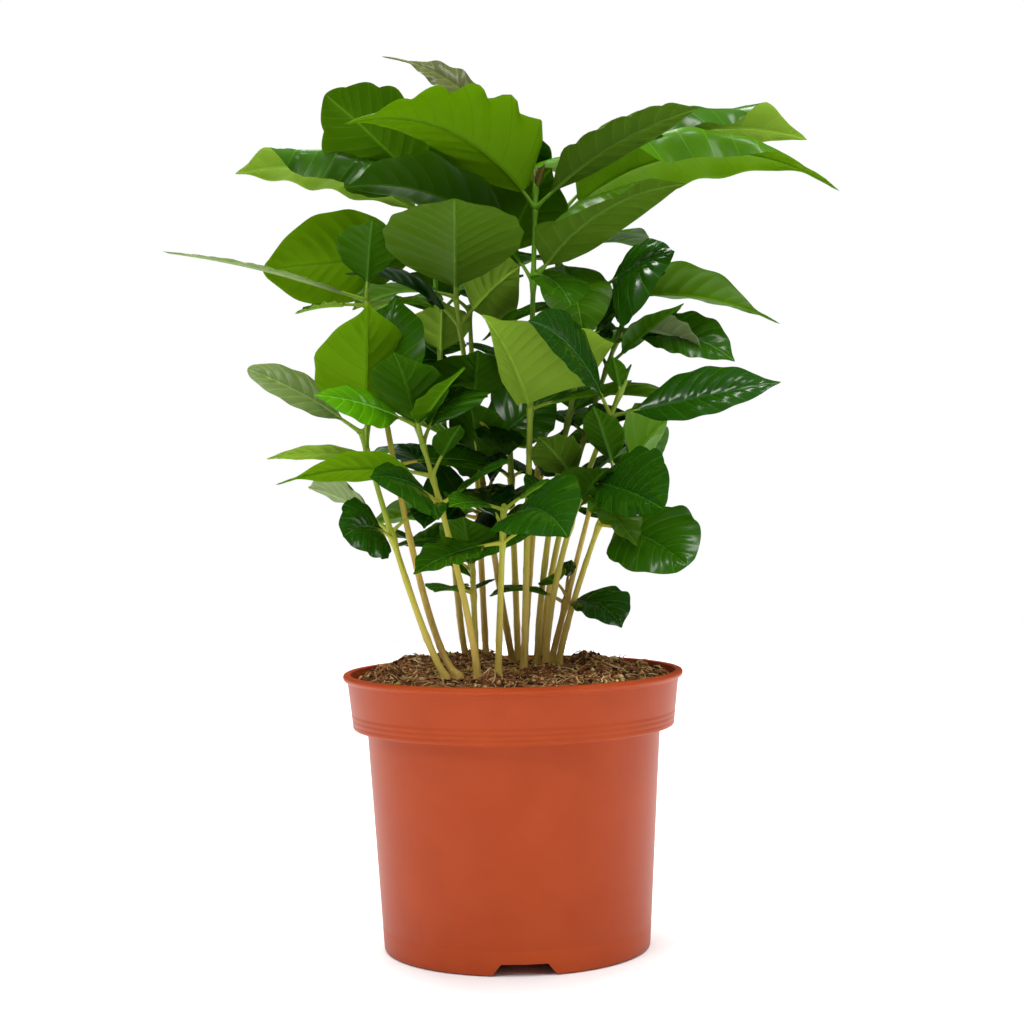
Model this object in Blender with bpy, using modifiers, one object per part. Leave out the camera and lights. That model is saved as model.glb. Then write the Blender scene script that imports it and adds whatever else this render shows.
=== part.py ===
"""Potted coffee plant: sixteen young coffee seedlings in one plastic nursery pot.

Sizes are in millimetres and angles in degrees; MM turns millimetres into Blender's metres.
The pot stands on z = 0 round the Z axis, and the front of the plant looks along -Y.
Every seedling is two solids: its bare stem, from the flat cut at the soil to just under
its first leaves, and its foliage, which is the upper stem with the leaves fused on.
"""
import math
import random

import bmesh
import bpy
from mathutils import Matrix, Vector
from mathutils.bvhtree import BVHTree

MM = 0.001

# Pot
RIM_HEIGHT = 97.0
LIP_RADIUS = 60.0
LIP_DROP = 2.2
COLLAR_TOP_RADIUS = 58.4
COLLAR_FOOT_RADIUS = 56.6
COLLAR_FOOT_HEIGHT = 77.8
BODY_TOP_RADIUS = 51.7
BODY_FOOT_RADIUS = 47.0
WALL = 1.2
FLOOR_HEIGHT = 4.5
POT_STEPS = 48
NOTCH_COUNT = 3
NOTCH_FIRST_ANGLE = -87.2
NOTCH_FOOT_WIDTH = 22.0
NOTCH_TOP_WIDTH = 15.6
NOTCH_HEIGHT = 4.0
DRAIN_COUNT = 4
DRAIN_RADIUS = 4.0
DRAIN_RING_RADIUS = 28.0

# Soil
SOIL_GAP = 0.3
SOIL_EDGE_HEIGHT = 92.5
SOIL_FLAT_RADIUS = 48.0
SOIL_HEIGHT = RIM_HEIGHT

# Stems
GROUND = SOIL_HEIGHT + SOIL_GAP
FOOT_RADIUS = 1.35
TOP_RADIUS = 0.85
FLARE = 0.45
FLARE_HEIGHT = 6.0
UPRIGHT = 1.0
STEM_POINTS = 8
JOINT_GAP = 0.3
JOINT_BELOW_LEAVES = 5.0

# Leaves
PETIOLE = 8.0
PETIOLE_HALF_WIDTH = 0.7
LEAF_THICKNESS = 1.1
LEAF_FOLD = 14.0
HALF_WIDTHS = ((0.10, 0.34), (0.28, 0.80), (0.50, 1.00), (0.72, 0.76), (0.89, 0.27))
CLEARANCE = 0.5
SEED = 7

# Where a leaf may move, before it is left out, when another seedling is in its way
TIP_SHIFTS = (0, -6, 6, -12, 12, -18, 18, -24, 24)
TURNS = (0, 12, -12, 24, -24, 36, -36, 48, -48)
LIFTS = (0, 14, -14, 28)
SIZES = (1.0, 0.7)


def to(tip, width, droop=30, roll=0):
    """A leaf known by the place of its tip, its width, how far it droops and how it rolls."""
    return {"tip": tip, "width": width, "droop": droop, "roll": roll}


def toward(azimuth, rise=35, length=62, width=30, droop=45, roll=0):
    """A leaf known by the direction in which it sets off, and its length."""
    return {"azimuth": azimuth, "rise": rise, "length": length, "width": width,
            "droop": droop, "roll": roll}


# Each seedling: foot (x, y), top (x, y, z), how the stem bends between them (1 is straight,
# less leans low down and more leans high up), and its pairs of leaves from the soil up:
# the height of the node, one leaf, and the leaf across from it. Where that is None, the
# rule in opposite_leaf grows it.
SEEDLINGS = {
    "01": {"foot": (4, 0), "top": (11, -5, 268), "bend": 1.0, "pairs": (
        (189, to((-8, -46, 219), 38, 30, -15), toward(65, 35, 60, 32)),
        (233, to((61, -38, 262), 28, 55, 25), to((-57, 4, 269), 28, 75, -20)),
        (236, to((22, -26, 223), 22, 50), toward(95, 35, 60, 32)),
        (259, to((-52, -48, 282), 48, 72, -30), to((67, -28, 289), 30, 32, 40)),
        (266, to((10, -2, 280), 6, 10), to((16, -10, 279), 6, 10)))},
    "02": {"foot": (0, 26), "top": (-18, 0, 230), "bend": 0.9, "pairs": (
        (150, to((-32, 4, 160), 28, 30, 50), None),
        (172, to((18, 8, 195), 30, 20, -50), None),
        (187, to((-10, -32, 209), 30, 20), to((0, -8, 173), 20, 30)),
        (219, to((5, 14, 241), 34, 20, 75), to((-57, 0, 238), 30, 60)),
        (229, to((-16, -62, 255), 46, 10), toward(95, 35, 60, 32)))},
    "03": {"foot": (-12, -31), "top": (-31, -30, 184), "bend": 1.3, "pairs": (
        (156, to((-45, -60, 166), 29, 40, 50), to((1, -48, 171), 14, 20, -20)),
        (157, to((-28, -56, 149), 12, 50), None),
        (166, to((-77, -48, 164), 24, 35, -45), to((-16, -38, 183), 15, 20)),
        (177, to((-37, -52, 207), 32, 20), None),
        (183, to((-63, -56, 193), 22, 20, 55), to((-14, -56, 201), 16, 15, -30)))},
    "04": {"foot": (-18, -31), "top": (-49, -5, 228), "bend": 0.6, "pairs": (
        (170, to((-83, -22, 173), 18, 30, -30), None),
        (226, to((-73, -16, 223), 10, 30), None),
        (228, to((-115, -34, 243), 24, 14, 5), to((-44, -14, 252), 22, 30)))},
    "05": {"foot": (-22.6, -31), "top": (-50, -28, 182), "bend": 0.8, "pairs": (
        (145, to((-54, -58, 147), 34, 50, 60), None),
        (147, to((-70, -24, 163), 22, 30, -35), None),
        (176, to((-46, -50, 224), 36, 10, -15), to((-38, -12, 229), 42, 15)),
        (181, to((-87, -36, 203), 26, 16, 45), None))},
    "06": {"foot": (-17, 38), "top": (-27, 25, 268), "bend": 0.6, "pairs": (
        (205, to((-23, 6, 229), 22, 10), None),
        (224, toward(120, 30, 46), None),
        (246, to((-86, 2, 240), 42, 8, -60), None),
        (258, to((-96, 8, 275), 27, 62, -35), toward(30, 15, 52, 26, 50)),
        (266, to((-62, -6, 300), 46, 15, -35), toward(60, 12, 44, 26, 50)))},
    "07": {"foot": (-5, -26), "top": (-2, -28, 156), "bend": 1.0, "pairs": (
        (143, to((-32, -52, 134), 18, 25, 20), to((10, -38, 151), 9, 10)),
        (147, to((18, -86, 146), 31, 60, -35), None),
        (154, to((14, -40, 164), 11, 20, -20), to((-20, -46, 156), 13, 30, 25)))},
    "08": {"foot": (12, 12), "top": (41, -12, 198), "bend": 1.6, "pairs": (
        (148, to((6, -23, 158), 24, 35, 45), None),
        (160, to((10, -18, 179), 24, 20, -30), to((43, -26, 141), 14, 25)),
        (163, to((50, -54, 154), 33, 15, -50), None),
        (186, to((93, -26, 196), 32, 4, -45), to((7, -54, 216), 26, 50, 78)),
        (194, to((36, -22, 206), 7, 15), to((43, -10, 204), 7, 15)))},
    "09": {"foot": (16.6, 12), "top": (38, 0, 165), "bend": 1.2, "pairs": (
        (148, to((60, -26, 134), 38, 30, -35), None),
        (164, to((29, -6, 189), 18, 20), to((57, -6, 186), 30, 10, 40)))},
    "10": {"foot": (14, 20), "top": (30, 12, 158), "bend": 1.0, "pairs": (
        (119, to((39, 4, 111), 26, 80, -15), to((-8, 12, 123), 13, 60)),
        (121, to((22, 18, 135), 13, 30), None),
        (155, toward(100, 30, 50, 28), None))},
    "11": {"foot": (9, 18), "top": (34, 18, 236), "bend": 1.5, "pairs": (
        (185, toward(70, 35, 50), None),
        (212, to((56, -6, 236), 26, 25, -45), None),
        (228, to((99, 18, 219), 26, 45), None),
        (232, to((59, -8, 243), 40, 20, -38), None))},
    "12": {"foot": (11, 35), "top": (42, 22, 220), "bend": 1.5, "pairs": (
        (180, toward(110, 30, 44, 28), None),
        (205, to((63, 4, 226), 20, 10), None),
        (214, to((81, 6, 205), 22, 60, -45), None),
        (218, to((71, 8, 207), 18, 50, 40), None))},
    "13": {"foot": (4.5, 31), "top": (22, 38, 265), "bend": 1.2, "pairs": (
        (150, toward(60, 30, 40, 28), None),
        (175, toward(150, 30, 48), None),
        (210, toward(75, 35, 38), None),
        (245, to((27, -6, 212), 26, 50), toward(100, 20, 30, 24, 40)),
        (262, to((116, 32, 268), 28, 82, 45), toward(190, 25, 50, 26, 50)),
        (264, to((114, 46, 290), 30, 70, 45), toward(140, 40, 44, 24, 50)))},
    "14": {"foot": (2, 38), "top": (-2, 22, 292), "bend": 1.0, "pairs": (
        (165, to((-26, 24, 178), 30, 30, 50), None),
        (205, toward(150, 35, 50), None),
        (240, toward(115, 35, 50), None),
        (270, toward(60, 35, 50), None),
        (290, to((-42, 30, 319), 15, 52, 50), toward(80, 10, 40, 18, 50)))},
    "15": {"foot": (-10, 42), "top": (-14, 44, 230), "bend": 1.0, "pairs": (
        (150, toward(60, 30, 40, 28), None),
        (168, toward(140, 30, 40, 26), None),
        (185, toward(165, 35, 50), None),
        (207, toward(60, 35, 38), None),
        (228, toward(75, 40, 38), None))},
    "16": {"foot": (-13, 6), "top": (-14, 8, 140), "bend": 1.0, "pairs": (
        (124, to((-27, -10, 126), 18, 30), None),
        (132, to((-24, -4, 137), 24, 30, 40), None),
        (138, to((8, -24, 146), 26, 30, -45), None))},
}


# ---------------------------------------------------------------- scene and materials

def clear_scene():
    for obj in list(bpy.data.objects):
        bpy.data.objects.remove(obj, do_unlink=True)


def new_collection(name):
    collection = bpy.data.collections.new(name)
    bpy.context.scene.collection.children.link(collection)
    return collection


def plain_material(name, color, roughness):
    material = bpy.data.materials.new(name)
    material.use_nodes = True
    shader = material.node_tree.nodes["Principled BSDF"]
    shader.inputs["Base Color"].default_value = (*color, 1.0)
    shader.inputs["Roughness"].default_value = roughness
    shader.inputs["Metallic"].default_value = 0.0
    material.diffuse_color = (*color, 1.0)
    return material


def mesh_object(name, mesh, collection, material=None):
    obj = bpy.data.objects.new(name, mesh)
    collection.objects.link(obj)
    if material is not None:
        mesh.materials.clear()
        mesh.materials.append(material)
    return obj


def evaluated_mesh(obj):
    graph = bpy.context.evaluated_depsgraph_get()
    graph.update()
    return bpy.data.meshes.new_from_object(obj.evaluated_get(graph))


# ---------------------------------------------------------------- pot and soil

def turned_object(name, profile, collection, material):
    """A profile of (radius, height) points, turned round the Z axis."""
    mesh = bpy.data.meshes.new(name)
    points = [Vector((radius, 0.0, height)) * MM for radius, height in profile]
    edges = [(i, i + 1) for i in range(len(points) - 1)]
    mesh.from_pydata(points, edges, [])
    obj = mesh_object(name, mesh, collection, material)
    screw = obj.modifiers.new("Turn", "SCREW")
    screw.steps = POT_STEPS
    screw.render_steps = POT_STEPS
    screw.use_merge_vertices = True
    screw.merge_threshold = 0.0001 * MM
    return obj


def pot_profile():
    """From the inner floor up the inside, over the rim, down the outer side and under."""
    inner_foot = BODY_FOOT_RADIUS - WALL
    inner_body_top = BODY_TOP_RADIUS - WALL
    inner_collar = COLLAR_FOOT_RADIUS - WALL
    lip_foot = RIM_HEIGHT - LIP_DROP
    return (
        (0.0, FLOOR_HEIGHT + 1.5),
        (inner_foot, FLOOR_HEIGHT + 1.5),
        (inner_body_top, COLLAR_FOOT_HEIGHT + WALL),
        (inner_collar, COLLAR_FOOT_HEIGHT + WALL),
        (COLLAR_TOP_RADIUS - WALL, RIM_HEIGHT),
        (LIP_RADIUS - 0.6, RIM_HEIGHT),
        (LIP_RADIUS, RIM_HEIGHT - 0.5),
        (LIP_RADIUS, lip_foot + 0.8),
        (COLLAR_TOP_RADIUS, lip_foot),
        (COLLAR_FOOT_RADIUS, COLLAR_FOOT_HEIGHT + 0.7),
        (COLLAR_FOOT_RADIUS - 0.6, COLLAR_FOOT_HEIGHT),
        (BODY_TOP_RADIUS, COLLAR_FOOT_HEIGHT),
        (BODY_FOOT_RADIUS, 0.9),
        (BODY_FOOT_RADIUS - 0.7, 0.0),
        (inner_foot - 0.6, 0.0),
        (inner_foot - 0.6, FLOOR_HEIGHT),
        (0.0, FLOOR_HEIGHT),
    )


def notch_cutter(name, angle, cutters):
    """A flat trapezoid, standing up, that cuts the foot ring."""
    curve = bpy.data.curves.new(name, "CURVE")
    curve.dimensions = "2D"
    curve.fill_mode = "BOTH"
    curve.extrude = 6.0 * MM
    spline = curve.splines.new("POLY")
    spline.use_cyclic_u = True
    below = 1.0
    flare = (NOTCH_FOOT_WIDTH - NOTCH_TOP_WIDTH) / 2 / NOTCH_HEIGHT * below
    foot = NOTCH_FOOT_WIDTH / 2 + flare
    top = NOTCH_TOP_WIDTH / 2
    corners = ((-foot, -below), (foot, -below), (top, NOTCH_HEIGHT), (-top, NOTCH_HEIGHT))
    spline.points.add(len(corners) - 1)
    for point, (across, height) in zip(spline.points, corners):
        point.co = (across * MM, height * MM, 0.0, 1.0)
    flat = bpy.data.objects.new(name + "_curve", curve)
    cutters.objects.link(flat)
    cutter = mesh_object(name, evaluated_mesh(flat), cutters)
    bpy.data.objects.remove(flat, do_unlink=True)
    outward = Matrix.Rotation(math.radians(angle), 4, "Z")
    cutter.matrix_world = (outward @ Matrix.Translation((BODY_FOOT_RADIUS * MM, 0, 0))
                           @ Matrix.Rotation(math.radians(90), 4, "Z")
                           @ Matrix.Rotation(math.radians(90), 4, "X"))
    return cutter


def drain_cutter(name, angle, cutters):
    mesh = bpy.data.meshes.new(name)
    work = bmesh.new()
    bmesh.ops.create_cone(work, cap_ends=True, segments=16, radius1=DRAIN_RADIUS * MM,
                          radius2=DRAIN_RADIUS * MM, depth=8.0 * MM)
    work.to_mesh(mesh)
    work.free()
    cutter = mesh_object(name, mesh, cutters)
    turn = math.radians(angle)
    cutter.location = (DRAIN_RING_RADIUS * math.cos(turn) * MM,
                       DRAIN_RING_RADIUS * math.sin(turn) * MM, FLOOR_HEIGHT * MM)
    return cutter


def cut(obj, cutter):
    cutter.hide_render = True
    cutter.display_type = "WIRE"
    modifier = obj.modifiers.new(cutter.name, "BOOLEAN")
    modifier.operation = "DIFFERENCE"
    modifier.object = cutter
    modifier.solver = "EXACT"


def build_pot(parts, cutters):
    terracotta = plain_material("terracotta_plastic", (0.48, 0.085, 0.03), 0.45)
    pot = turned_object("pot", pot_profile(), parts, terracotta)
    for index in range(NOTCH_COUNT):
        angle = NOTCH_FIRST_ANGLE + index * 360.0 / NOTCH_COUNT
        cut(pot, notch_cutter("notch_%d" % (index + 1), angle, cutters))
    for index in range(DRAIN_COUNT):
        angle = 45.0 + index * 360.0 / DRAIN_COUNT
        cut(pot, drain_cutter("drain_%d" % (index + 1), angle, cutters))
    return pot


def build_soil(parts):
    """The soil fills the pot and lies level with the rim round the stems."""
    peat = plain_material("peat", (0.045, 0.022, 0.012), 0.95)
    foot = BODY_FOOT_RADIUS - WALL - SOIL_GAP
    step = COLLAR_FOOT_HEIGHT + WALL + SOIL_GAP
    collar = COLLAR_FOOT_RADIUS - WALL - SOIL_GAP
    slope = (COLLAR_TOP_RADIUS - COLLAR_FOOT_RADIUS) / (RIM_HEIGHT - COLLAR_FOOT_HEIGHT)
    edge = collar + slope * (SOIL_EDGE_HEIGHT - step) - SOIL_GAP
    profile = (
        (0.0, SOIL_HEIGHT),
        (SOIL_FLAT_RADIUS, SOIL_HEIGHT),
        (edge, SOIL_EDGE_HEIGHT),
        (collar, step),
        (BODY_TOP_RADIUS - WALL - SOIL_GAP, step),
        (BODY_TOP_RADIUS - WALL - SOIL_GAP, step - 0.1),
        (foot, FLOOR_HEIGHT + 1.5 + SOIL_GAP),
        (0.0, FLOOR_HEIGHT + 1.5 + SOIL_GAP),
    )
    return turned_object("soil", profile, parts, peat)


# ---------------------------------------------------------------- stems

def stem_point(seedling, height):
    foot = seedling["foot"]
    top = seedling["top"]
    low = GROUND + UPRIGHT
    share = max(0.0, (height - low) / (top[2] - low)) ** seedling["bend"]
    return Vector((foot[0] + (top[0] - foot[0]) * share,
                   foot[1] + (top[1] - foot[1]) * share, height))


def stem_radius(seedling, height):
    above = max(0.0, height - GROUND)
    share = above / (seedling["top"][2] - GROUND)
    flare = FLARE * max(0.0, 1.0 - above / FLARE_HEIGHT) ** 2
    return FOOT_RADIUS + (TOP_RADIUS - FOOT_RADIUS) * share + flare


def limb_mesh(name, seedling, heights, collection):
    """A tapering tube up the seedling through the given heights, as a closed mesh."""
    curve = bpy.data.curves.new(name, "CURVE")
    curve.dimensions = "3D"
    curve.bevel_depth = MM
    curve.bevel_resolution = 1
    curve.use_fill_caps = True
    spline = curve.splines.new("POLY")
    spline.points.add(len(heights) - 1)
    for point, height in zip(spline.points, heights):
        point.co = (*(stem_point(seedling, height) * MM), 1.0)
        point.radius = stem_radius(seedling, height)
    tube = bpy.data.objects.new(name + "_curve", curve)
    collection.objects.link(tube)
    mesh = evaluated_mesh(tube)
    bpy.data.objects.remove(tube, do_unlink=True)
    work = bmesh.new()
    work.from_mesh(mesh)
    bmesh.ops.remove_doubles(work, verts=work.verts, dist=0.01 * MM)
    work.to_mesh(mesh)
    work.free()
    mesh.name = name
    return mesh


def even_heights(low, high, count):
    return [low + (high - low) * i / (count - 1) for i in range(count)]


def joint_height(seedling):
    return seedling["pairs"][0][0] - JOINT_BELOW_LEAVES


def bare_heights(seedling):
    """The foot stands upright for its first millimetre, so that its cut is level."""
    start = [GROUND, GROUND + UPRIGHT, GROUND + FLARE_HEIGHT / 2]
    high = joint_height(seedling) - JOINT_GAP / 2
    return start + even_heights(GROUND + FLARE_HEIGHT, high, STEM_POINTS - 3)


def leafy_heights(seedling):
    low = joint_height(seedling) + JOINT_GAP / 2
    return even_heights(low, seedling["top"][2], STEM_POINTS - 2)


# ---------------------------------------------------------------- leaves

def resolved(start, leaf):
    """The leaf with its direction and length worked out where only its tip is known."""
    if "tip" not in leaf:
        return leaf
    chord = Vector(leaf["tip"]) - start
    half_droop = math.radians(leaf["droop"]) / 2
    arc = chord.length * half_droop / math.sin(half_droop)
    return {**leaf, "azimuth": math.degrees(math.atan2(chord.y, chord.x)),
            "rise": math.degrees(math.asin(chord.z / chord.length)) + leaf["droop"] / 2,
            "length": arc - PETIOLE}


def opposite_leaf(leaf, chance):
    """The other leaf of a pair: as large, across the stem and more level."""
    return {"azimuth": leaf["azimuth"] + 180 + chance.uniform(-12, 12),
            "rise": min(55, max(20, leaf["rise"])) + chance.uniform(-6, 6),
            "length": leaf["length"] * chance.uniform(0.85, 0.98),
            "width": leaf["width"], "droop": chance.uniform(30, 55),
            "roll": chance.uniform(-40, 40)}


def heading(leaf, share):
    elevation = math.radians(leaf["rise"] - leaf["droop"] * share)
    azimuth = math.radians(leaf["azimuth"])
    return Vector((math.cos(elevation) * math.cos(azimuth),
                   math.cos(elevation) * math.sin(azimuth), math.sin(elevation)))


def leaf_frame(leaf, share):
    """The leaf's way across to its right margin and its way up, at a share of its length."""
    azimuth = math.radians(leaf["azimuth"])
    roll = math.radians(leaf["roll"])
    along = heading(leaf, share)
    level = Vector((math.sin(azimuth), -math.cos(azimuth), 0.0))
    across = level * math.cos(roll) + level.cross(along) * math.sin(roll)
    return across, across.cross(along)


def arc_point(start, leaf, share):
    """A point on the bent midrib, worked out from the arc of its droop."""
    total = PETIOLE + leaf["length"]
    droop = math.radians(leaf["droop"]) * share
    shrink = math.sin(droop / 2) / (droop / 2) if droop else 1.0
    return start + heading(leaf, share / 2) * (total * share * shrink)


def leaf_mesh(name, start, leaf, spare=0.0):
    """A closed blade on its petiole: a folded lens-shaped section at each station."""
    total = PETIOLE + leaf["length"]
    stations = [(0.0, PETIOLE_HALF_WIDTH), (PETIOLE / total, PETIOLE_HALF_WIDTH)]
    for place, width in HALF_WIDTHS:
        share = (PETIOLE + place * leaf["length"]) / total
        stations.append((share, width * leaf["width"] / 2))
    half_thickness = LEAF_THICKNESS / 2 + spare
    work = bmesh.new()
    rings = []
    for share, half_width in stations:
        centre = arc_point(start, leaf, share)
        across, up = leaf_frame(leaf, share)
        fold = math.radians(LEAF_FOLD) if half_width > PETIOLE_HALF_WIDTH else 0.0
        out = across * math.cos(fold) * (half_width + spare)
        lift = up * math.sin(fold) * (half_width + spare)
        corners = (centre - out + lift, centre + up * half_thickness,
                   centre + out + lift, centre - up * half_thickness)
        rings.append([work.verts.new(corner * MM) for corner in corners])
    tip = work.verts.new(arc_point(start, leaf, 1.0) * MM)
    work.faces.new(rings[0])
    for near, far in zip(rings, rings[1:]):
        for i in range(4):
            work.faces.new((near[i], near[i - 1], far[i - 1], far[i]))
    for i in range(4):
        work.faces.new((rings[-1][i], rings[-1][i - 1], tip))
    bmesh.ops.recalc_face_normals(work, faces=work.faces)
    bmesh.ops.triangulate(work, faces=work.faces)
    mesh = bpy.data.meshes.new(name)
    work.to_mesh(mesh)
    work.free()
    return mesh


def tree_of(mesh):
    points = [vertex.co.copy() for vertex in mesh.vertices]
    faces = [tuple(polygon.vertices) for polygon in mesh.polygons]
    return BVHTree.FromPolygons(points, faces)


def shifted(leaf):
    """The leaf as drawn, then where it may go when something is in its way."""
    if "tip" in leaf:
        for shift in TIP_SHIFTS:
            x, y, z = leaf["tip"]
            yield {**leaf, "tip": (x, y + shift, z)}
    else:
        for size in SIZES:
            for lift in LIFTS:
                for turn in TURNS:
                    yield {**leaf, "azimuth": leaf["azimuth"] + turn,
                           "rise": leaf["rise"] + lift,
                           "length": leaf["length"] * size,
                           "width": leaf["width"] * size}


def placed_leaf(name, start, leaf, taken):
    """The first free place of a leaf among the other seedlings, or None."""
    for choice in shifted(leaf):
        choice = resolved(start, choice)
        probe = leaf_mesh("probe", start, choice, CLEARANCE)
        tree = tree_of(probe)
        bpy.data.meshes.remove(probe)
        if not any(owner != name and tree.overlap(other) for owner, other in taken):
            taken.append((name, tree))
            return choice
    return None


def grown_leaves(taken):
    """All leaves by seedling, as (start, leaf): those known by their tips are placed first,
    then those known by a direction, then the opposite leaves that the rule grows."""
    chance = random.Random(SEED)
    waiting = []
    for name, seedling in SEEDLINGS.items():
        for height, first, second in seedling["pairs"]:
            start = stem_point(seedling, height)
            if second is None:
                grown = opposite_leaf(resolved(start, first), chance)
                waiting.append((2, name, start, grown))
            else:
                waiting.append((0 if "tip" in second else 1, name, start, second))
            waiting.append((0 if "tip" in first else 1, name, start, first))
    leaves = {name: [] for name in SEEDLINGS}
    for turn, name, start, leaf in sorted(waiting, key=lambda entry: entry[0]):
        choice = placed_leaf(name, start, leaf, taken)
        if choice is not None:
            leaves[name].append((start, choice))
    return leaves


def fuse(name, stem, blades, parts, material):
    """One Boolean union of the upper stem with all its leaves, applied."""
    pieces = bpy.data.collections.new(name + "_leaves")
    bpy.context.scene.collection.children.link(pieces)
    for index, blade in enumerate(blades):
        pieces.objects.link(bpy.data.objects.new("%s_leaf_%d" % (name, index + 1), blade))
    whole = mesh_object(name, stem, parts, material)
    union = whole.modifiers.new("Leaves", "BOOLEAN")
    union.operation = "UNION"
    union.operand_type = "COLLECTION"
    union.collection = pieces
    union.solver = "EXACT"
    fused = evaluated_mesh(whole)
    whole.modifiers.remove(union)
    whole.data = fused
    fused.materials.clear()
    fused.materials.append(material)
    for obj in list(pieces.objects):
        bpy.data.objects.remove(obj, do_unlink=True)
    bpy.data.collections.remove(pieces)
    return whole


def build_seedlings(parts):
    bark = plain_material("stem", (0.42, 0.36, 0.12), 0.6)
    green = plain_material("leaf", (0.03, 0.16, 0.015), 0.35)
    taken = []
    for name, seedling in SEEDLINGS.items():
        mesh = limb_mesh("stem_" + name, seedling, bare_heights(seedling), parts)
        mesh_object("stem_" + name, mesh, parts, bark)
        taken.append((name, tree_of(mesh)))
        upper = limb_mesh("probe", seedling, leafy_heights(seedling), parts)
        taken.append((name, tree_of(upper)))
        bpy.data.meshes.remove(upper)
    for name, leaves in grown_leaves(taken).items():
        seedling = SEEDLINGS[name]
        stem = limb_mesh("foliage_" + name, seedling, leafy_heights(seedling), parts)
        blades = [leaf_mesh("leaf", start, leaf) for start, leaf in leaves]
        fuse("foliage_" + name, stem, blades, parts, green)


def main():
    clear_scene()
    parts = new_collection("potted_coffee_plant")
    cutters = new_collection("cutters")
    build_pot(parts, cutters)
    build_soil(parts)
    build_seedlings(parts)


main()
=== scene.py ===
"""Looks of the potted coffee plant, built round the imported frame.

Sizes are in millimetres and angles in degrees, as in the solids' source, whose rule for the
seedlings and their leaves is written again here; MM turns millimetres into metres. Every
leaf becomes a thin veined blade, every stem a tube with its nodes and petioles.
"""
import math
import random

import bmesh
import bpy
import numpy as np
from mathutils import Matrix, Vector
from mathutils.bvhtree import BVHTree


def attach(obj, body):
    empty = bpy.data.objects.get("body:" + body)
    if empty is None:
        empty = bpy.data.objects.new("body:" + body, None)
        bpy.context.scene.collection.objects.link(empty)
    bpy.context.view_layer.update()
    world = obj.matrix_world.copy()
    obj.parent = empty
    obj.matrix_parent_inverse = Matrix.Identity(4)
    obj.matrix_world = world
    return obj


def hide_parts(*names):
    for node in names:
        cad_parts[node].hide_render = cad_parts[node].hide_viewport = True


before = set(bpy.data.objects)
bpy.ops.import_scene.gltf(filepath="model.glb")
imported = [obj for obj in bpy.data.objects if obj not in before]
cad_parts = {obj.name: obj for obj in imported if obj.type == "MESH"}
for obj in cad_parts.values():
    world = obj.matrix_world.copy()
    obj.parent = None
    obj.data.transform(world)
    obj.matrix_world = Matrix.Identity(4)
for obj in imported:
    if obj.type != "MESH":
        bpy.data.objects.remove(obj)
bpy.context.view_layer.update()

MM = 0.001

# Pot
RIM_HEIGHT = 97.0
LIP_RADIUS = 60.0
LIP_DROP = 2.2
COLLAR_TOP_RADIUS = 58.4
COLLAR_FOOT_RADIUS = 56.6
COLLAR_FOOT_HEIGHT = 77.8
BODY_TOP_RADIUS = 51.7
BODY_FOOT_RADIUS = 47.0
WALL = 1.2
FLOOR_HEIGHT = 4.5
NOTCH_COUNT = 3
NOTCH_FIRST_ANGLE = -87.2
NOTCH_FOOT_WIDTH = 22.0
NOTCH_TOP_WIDTH = 15.6
NOTCH_HEIGHT = 4.0
DRAIN_COUNT = 4
DRAIN_RADIUS = 4.0
DRAIN_RING_RADIUS = 28.0

# Soil
SOIL_GAP = 0.3
SOIL_HEIGHT = RIM_HEIGHT

# Stems
GROUND = SOIL_HEIGHT + SOIL_GAP
FOOT_RADIUS = 1.35
TOP_RADIUS = 0.85
FLARE = 0.45
FLARE_HEIGHT = 6.0
UPRIGHT = 1.0
STEM_POINTS = 8
JOINT_GAP = 0.3
JOINT_BELOW_LEAVES = 5.0

# Leaves
PETIOLE = 8.0
PETIOLE_HALF_WIDTH = 0.7
LEAF_THICKNESS = 1.1
LEAF_FOLD = 14.0
HALF_WIDTHS = ((0.10, 0.34), (0.28, 0.80), (0.50, 1.00), (0.72, 0.76), (0.89, 0.27))
CLEARANCE = 0.5
SEED = 7

# Where a leaf may move, before it is left out, when another seedling is in its way
TIP_SHIFTS = (0, -6, 6, -12, 12, -18, 18, -24, 24)
TURNS = (0, 12, -12, 24, -24, 36, -36, 48, -48)
LIFTS = (0, 14, -14, 28)
SIZES = (1.0, 0.7)


def to(tip, width, droop=30, roll=0):
    """A leaf known by the place of its tip, its width, how far it droops and how it rolls."""
    return {"tip": tip, "width": width, "droop": droop, "roll": roll}


def toward(azimuth, rise=35, length=62, width=30, droop=45, roll=0):
    """A leaf known by the direction in which it sets off, and its length."""
    return {"azimuth": azimuth, "rise": rise, "length": length, "width": width,
            "droop": droop, "roll": roll}


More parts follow.
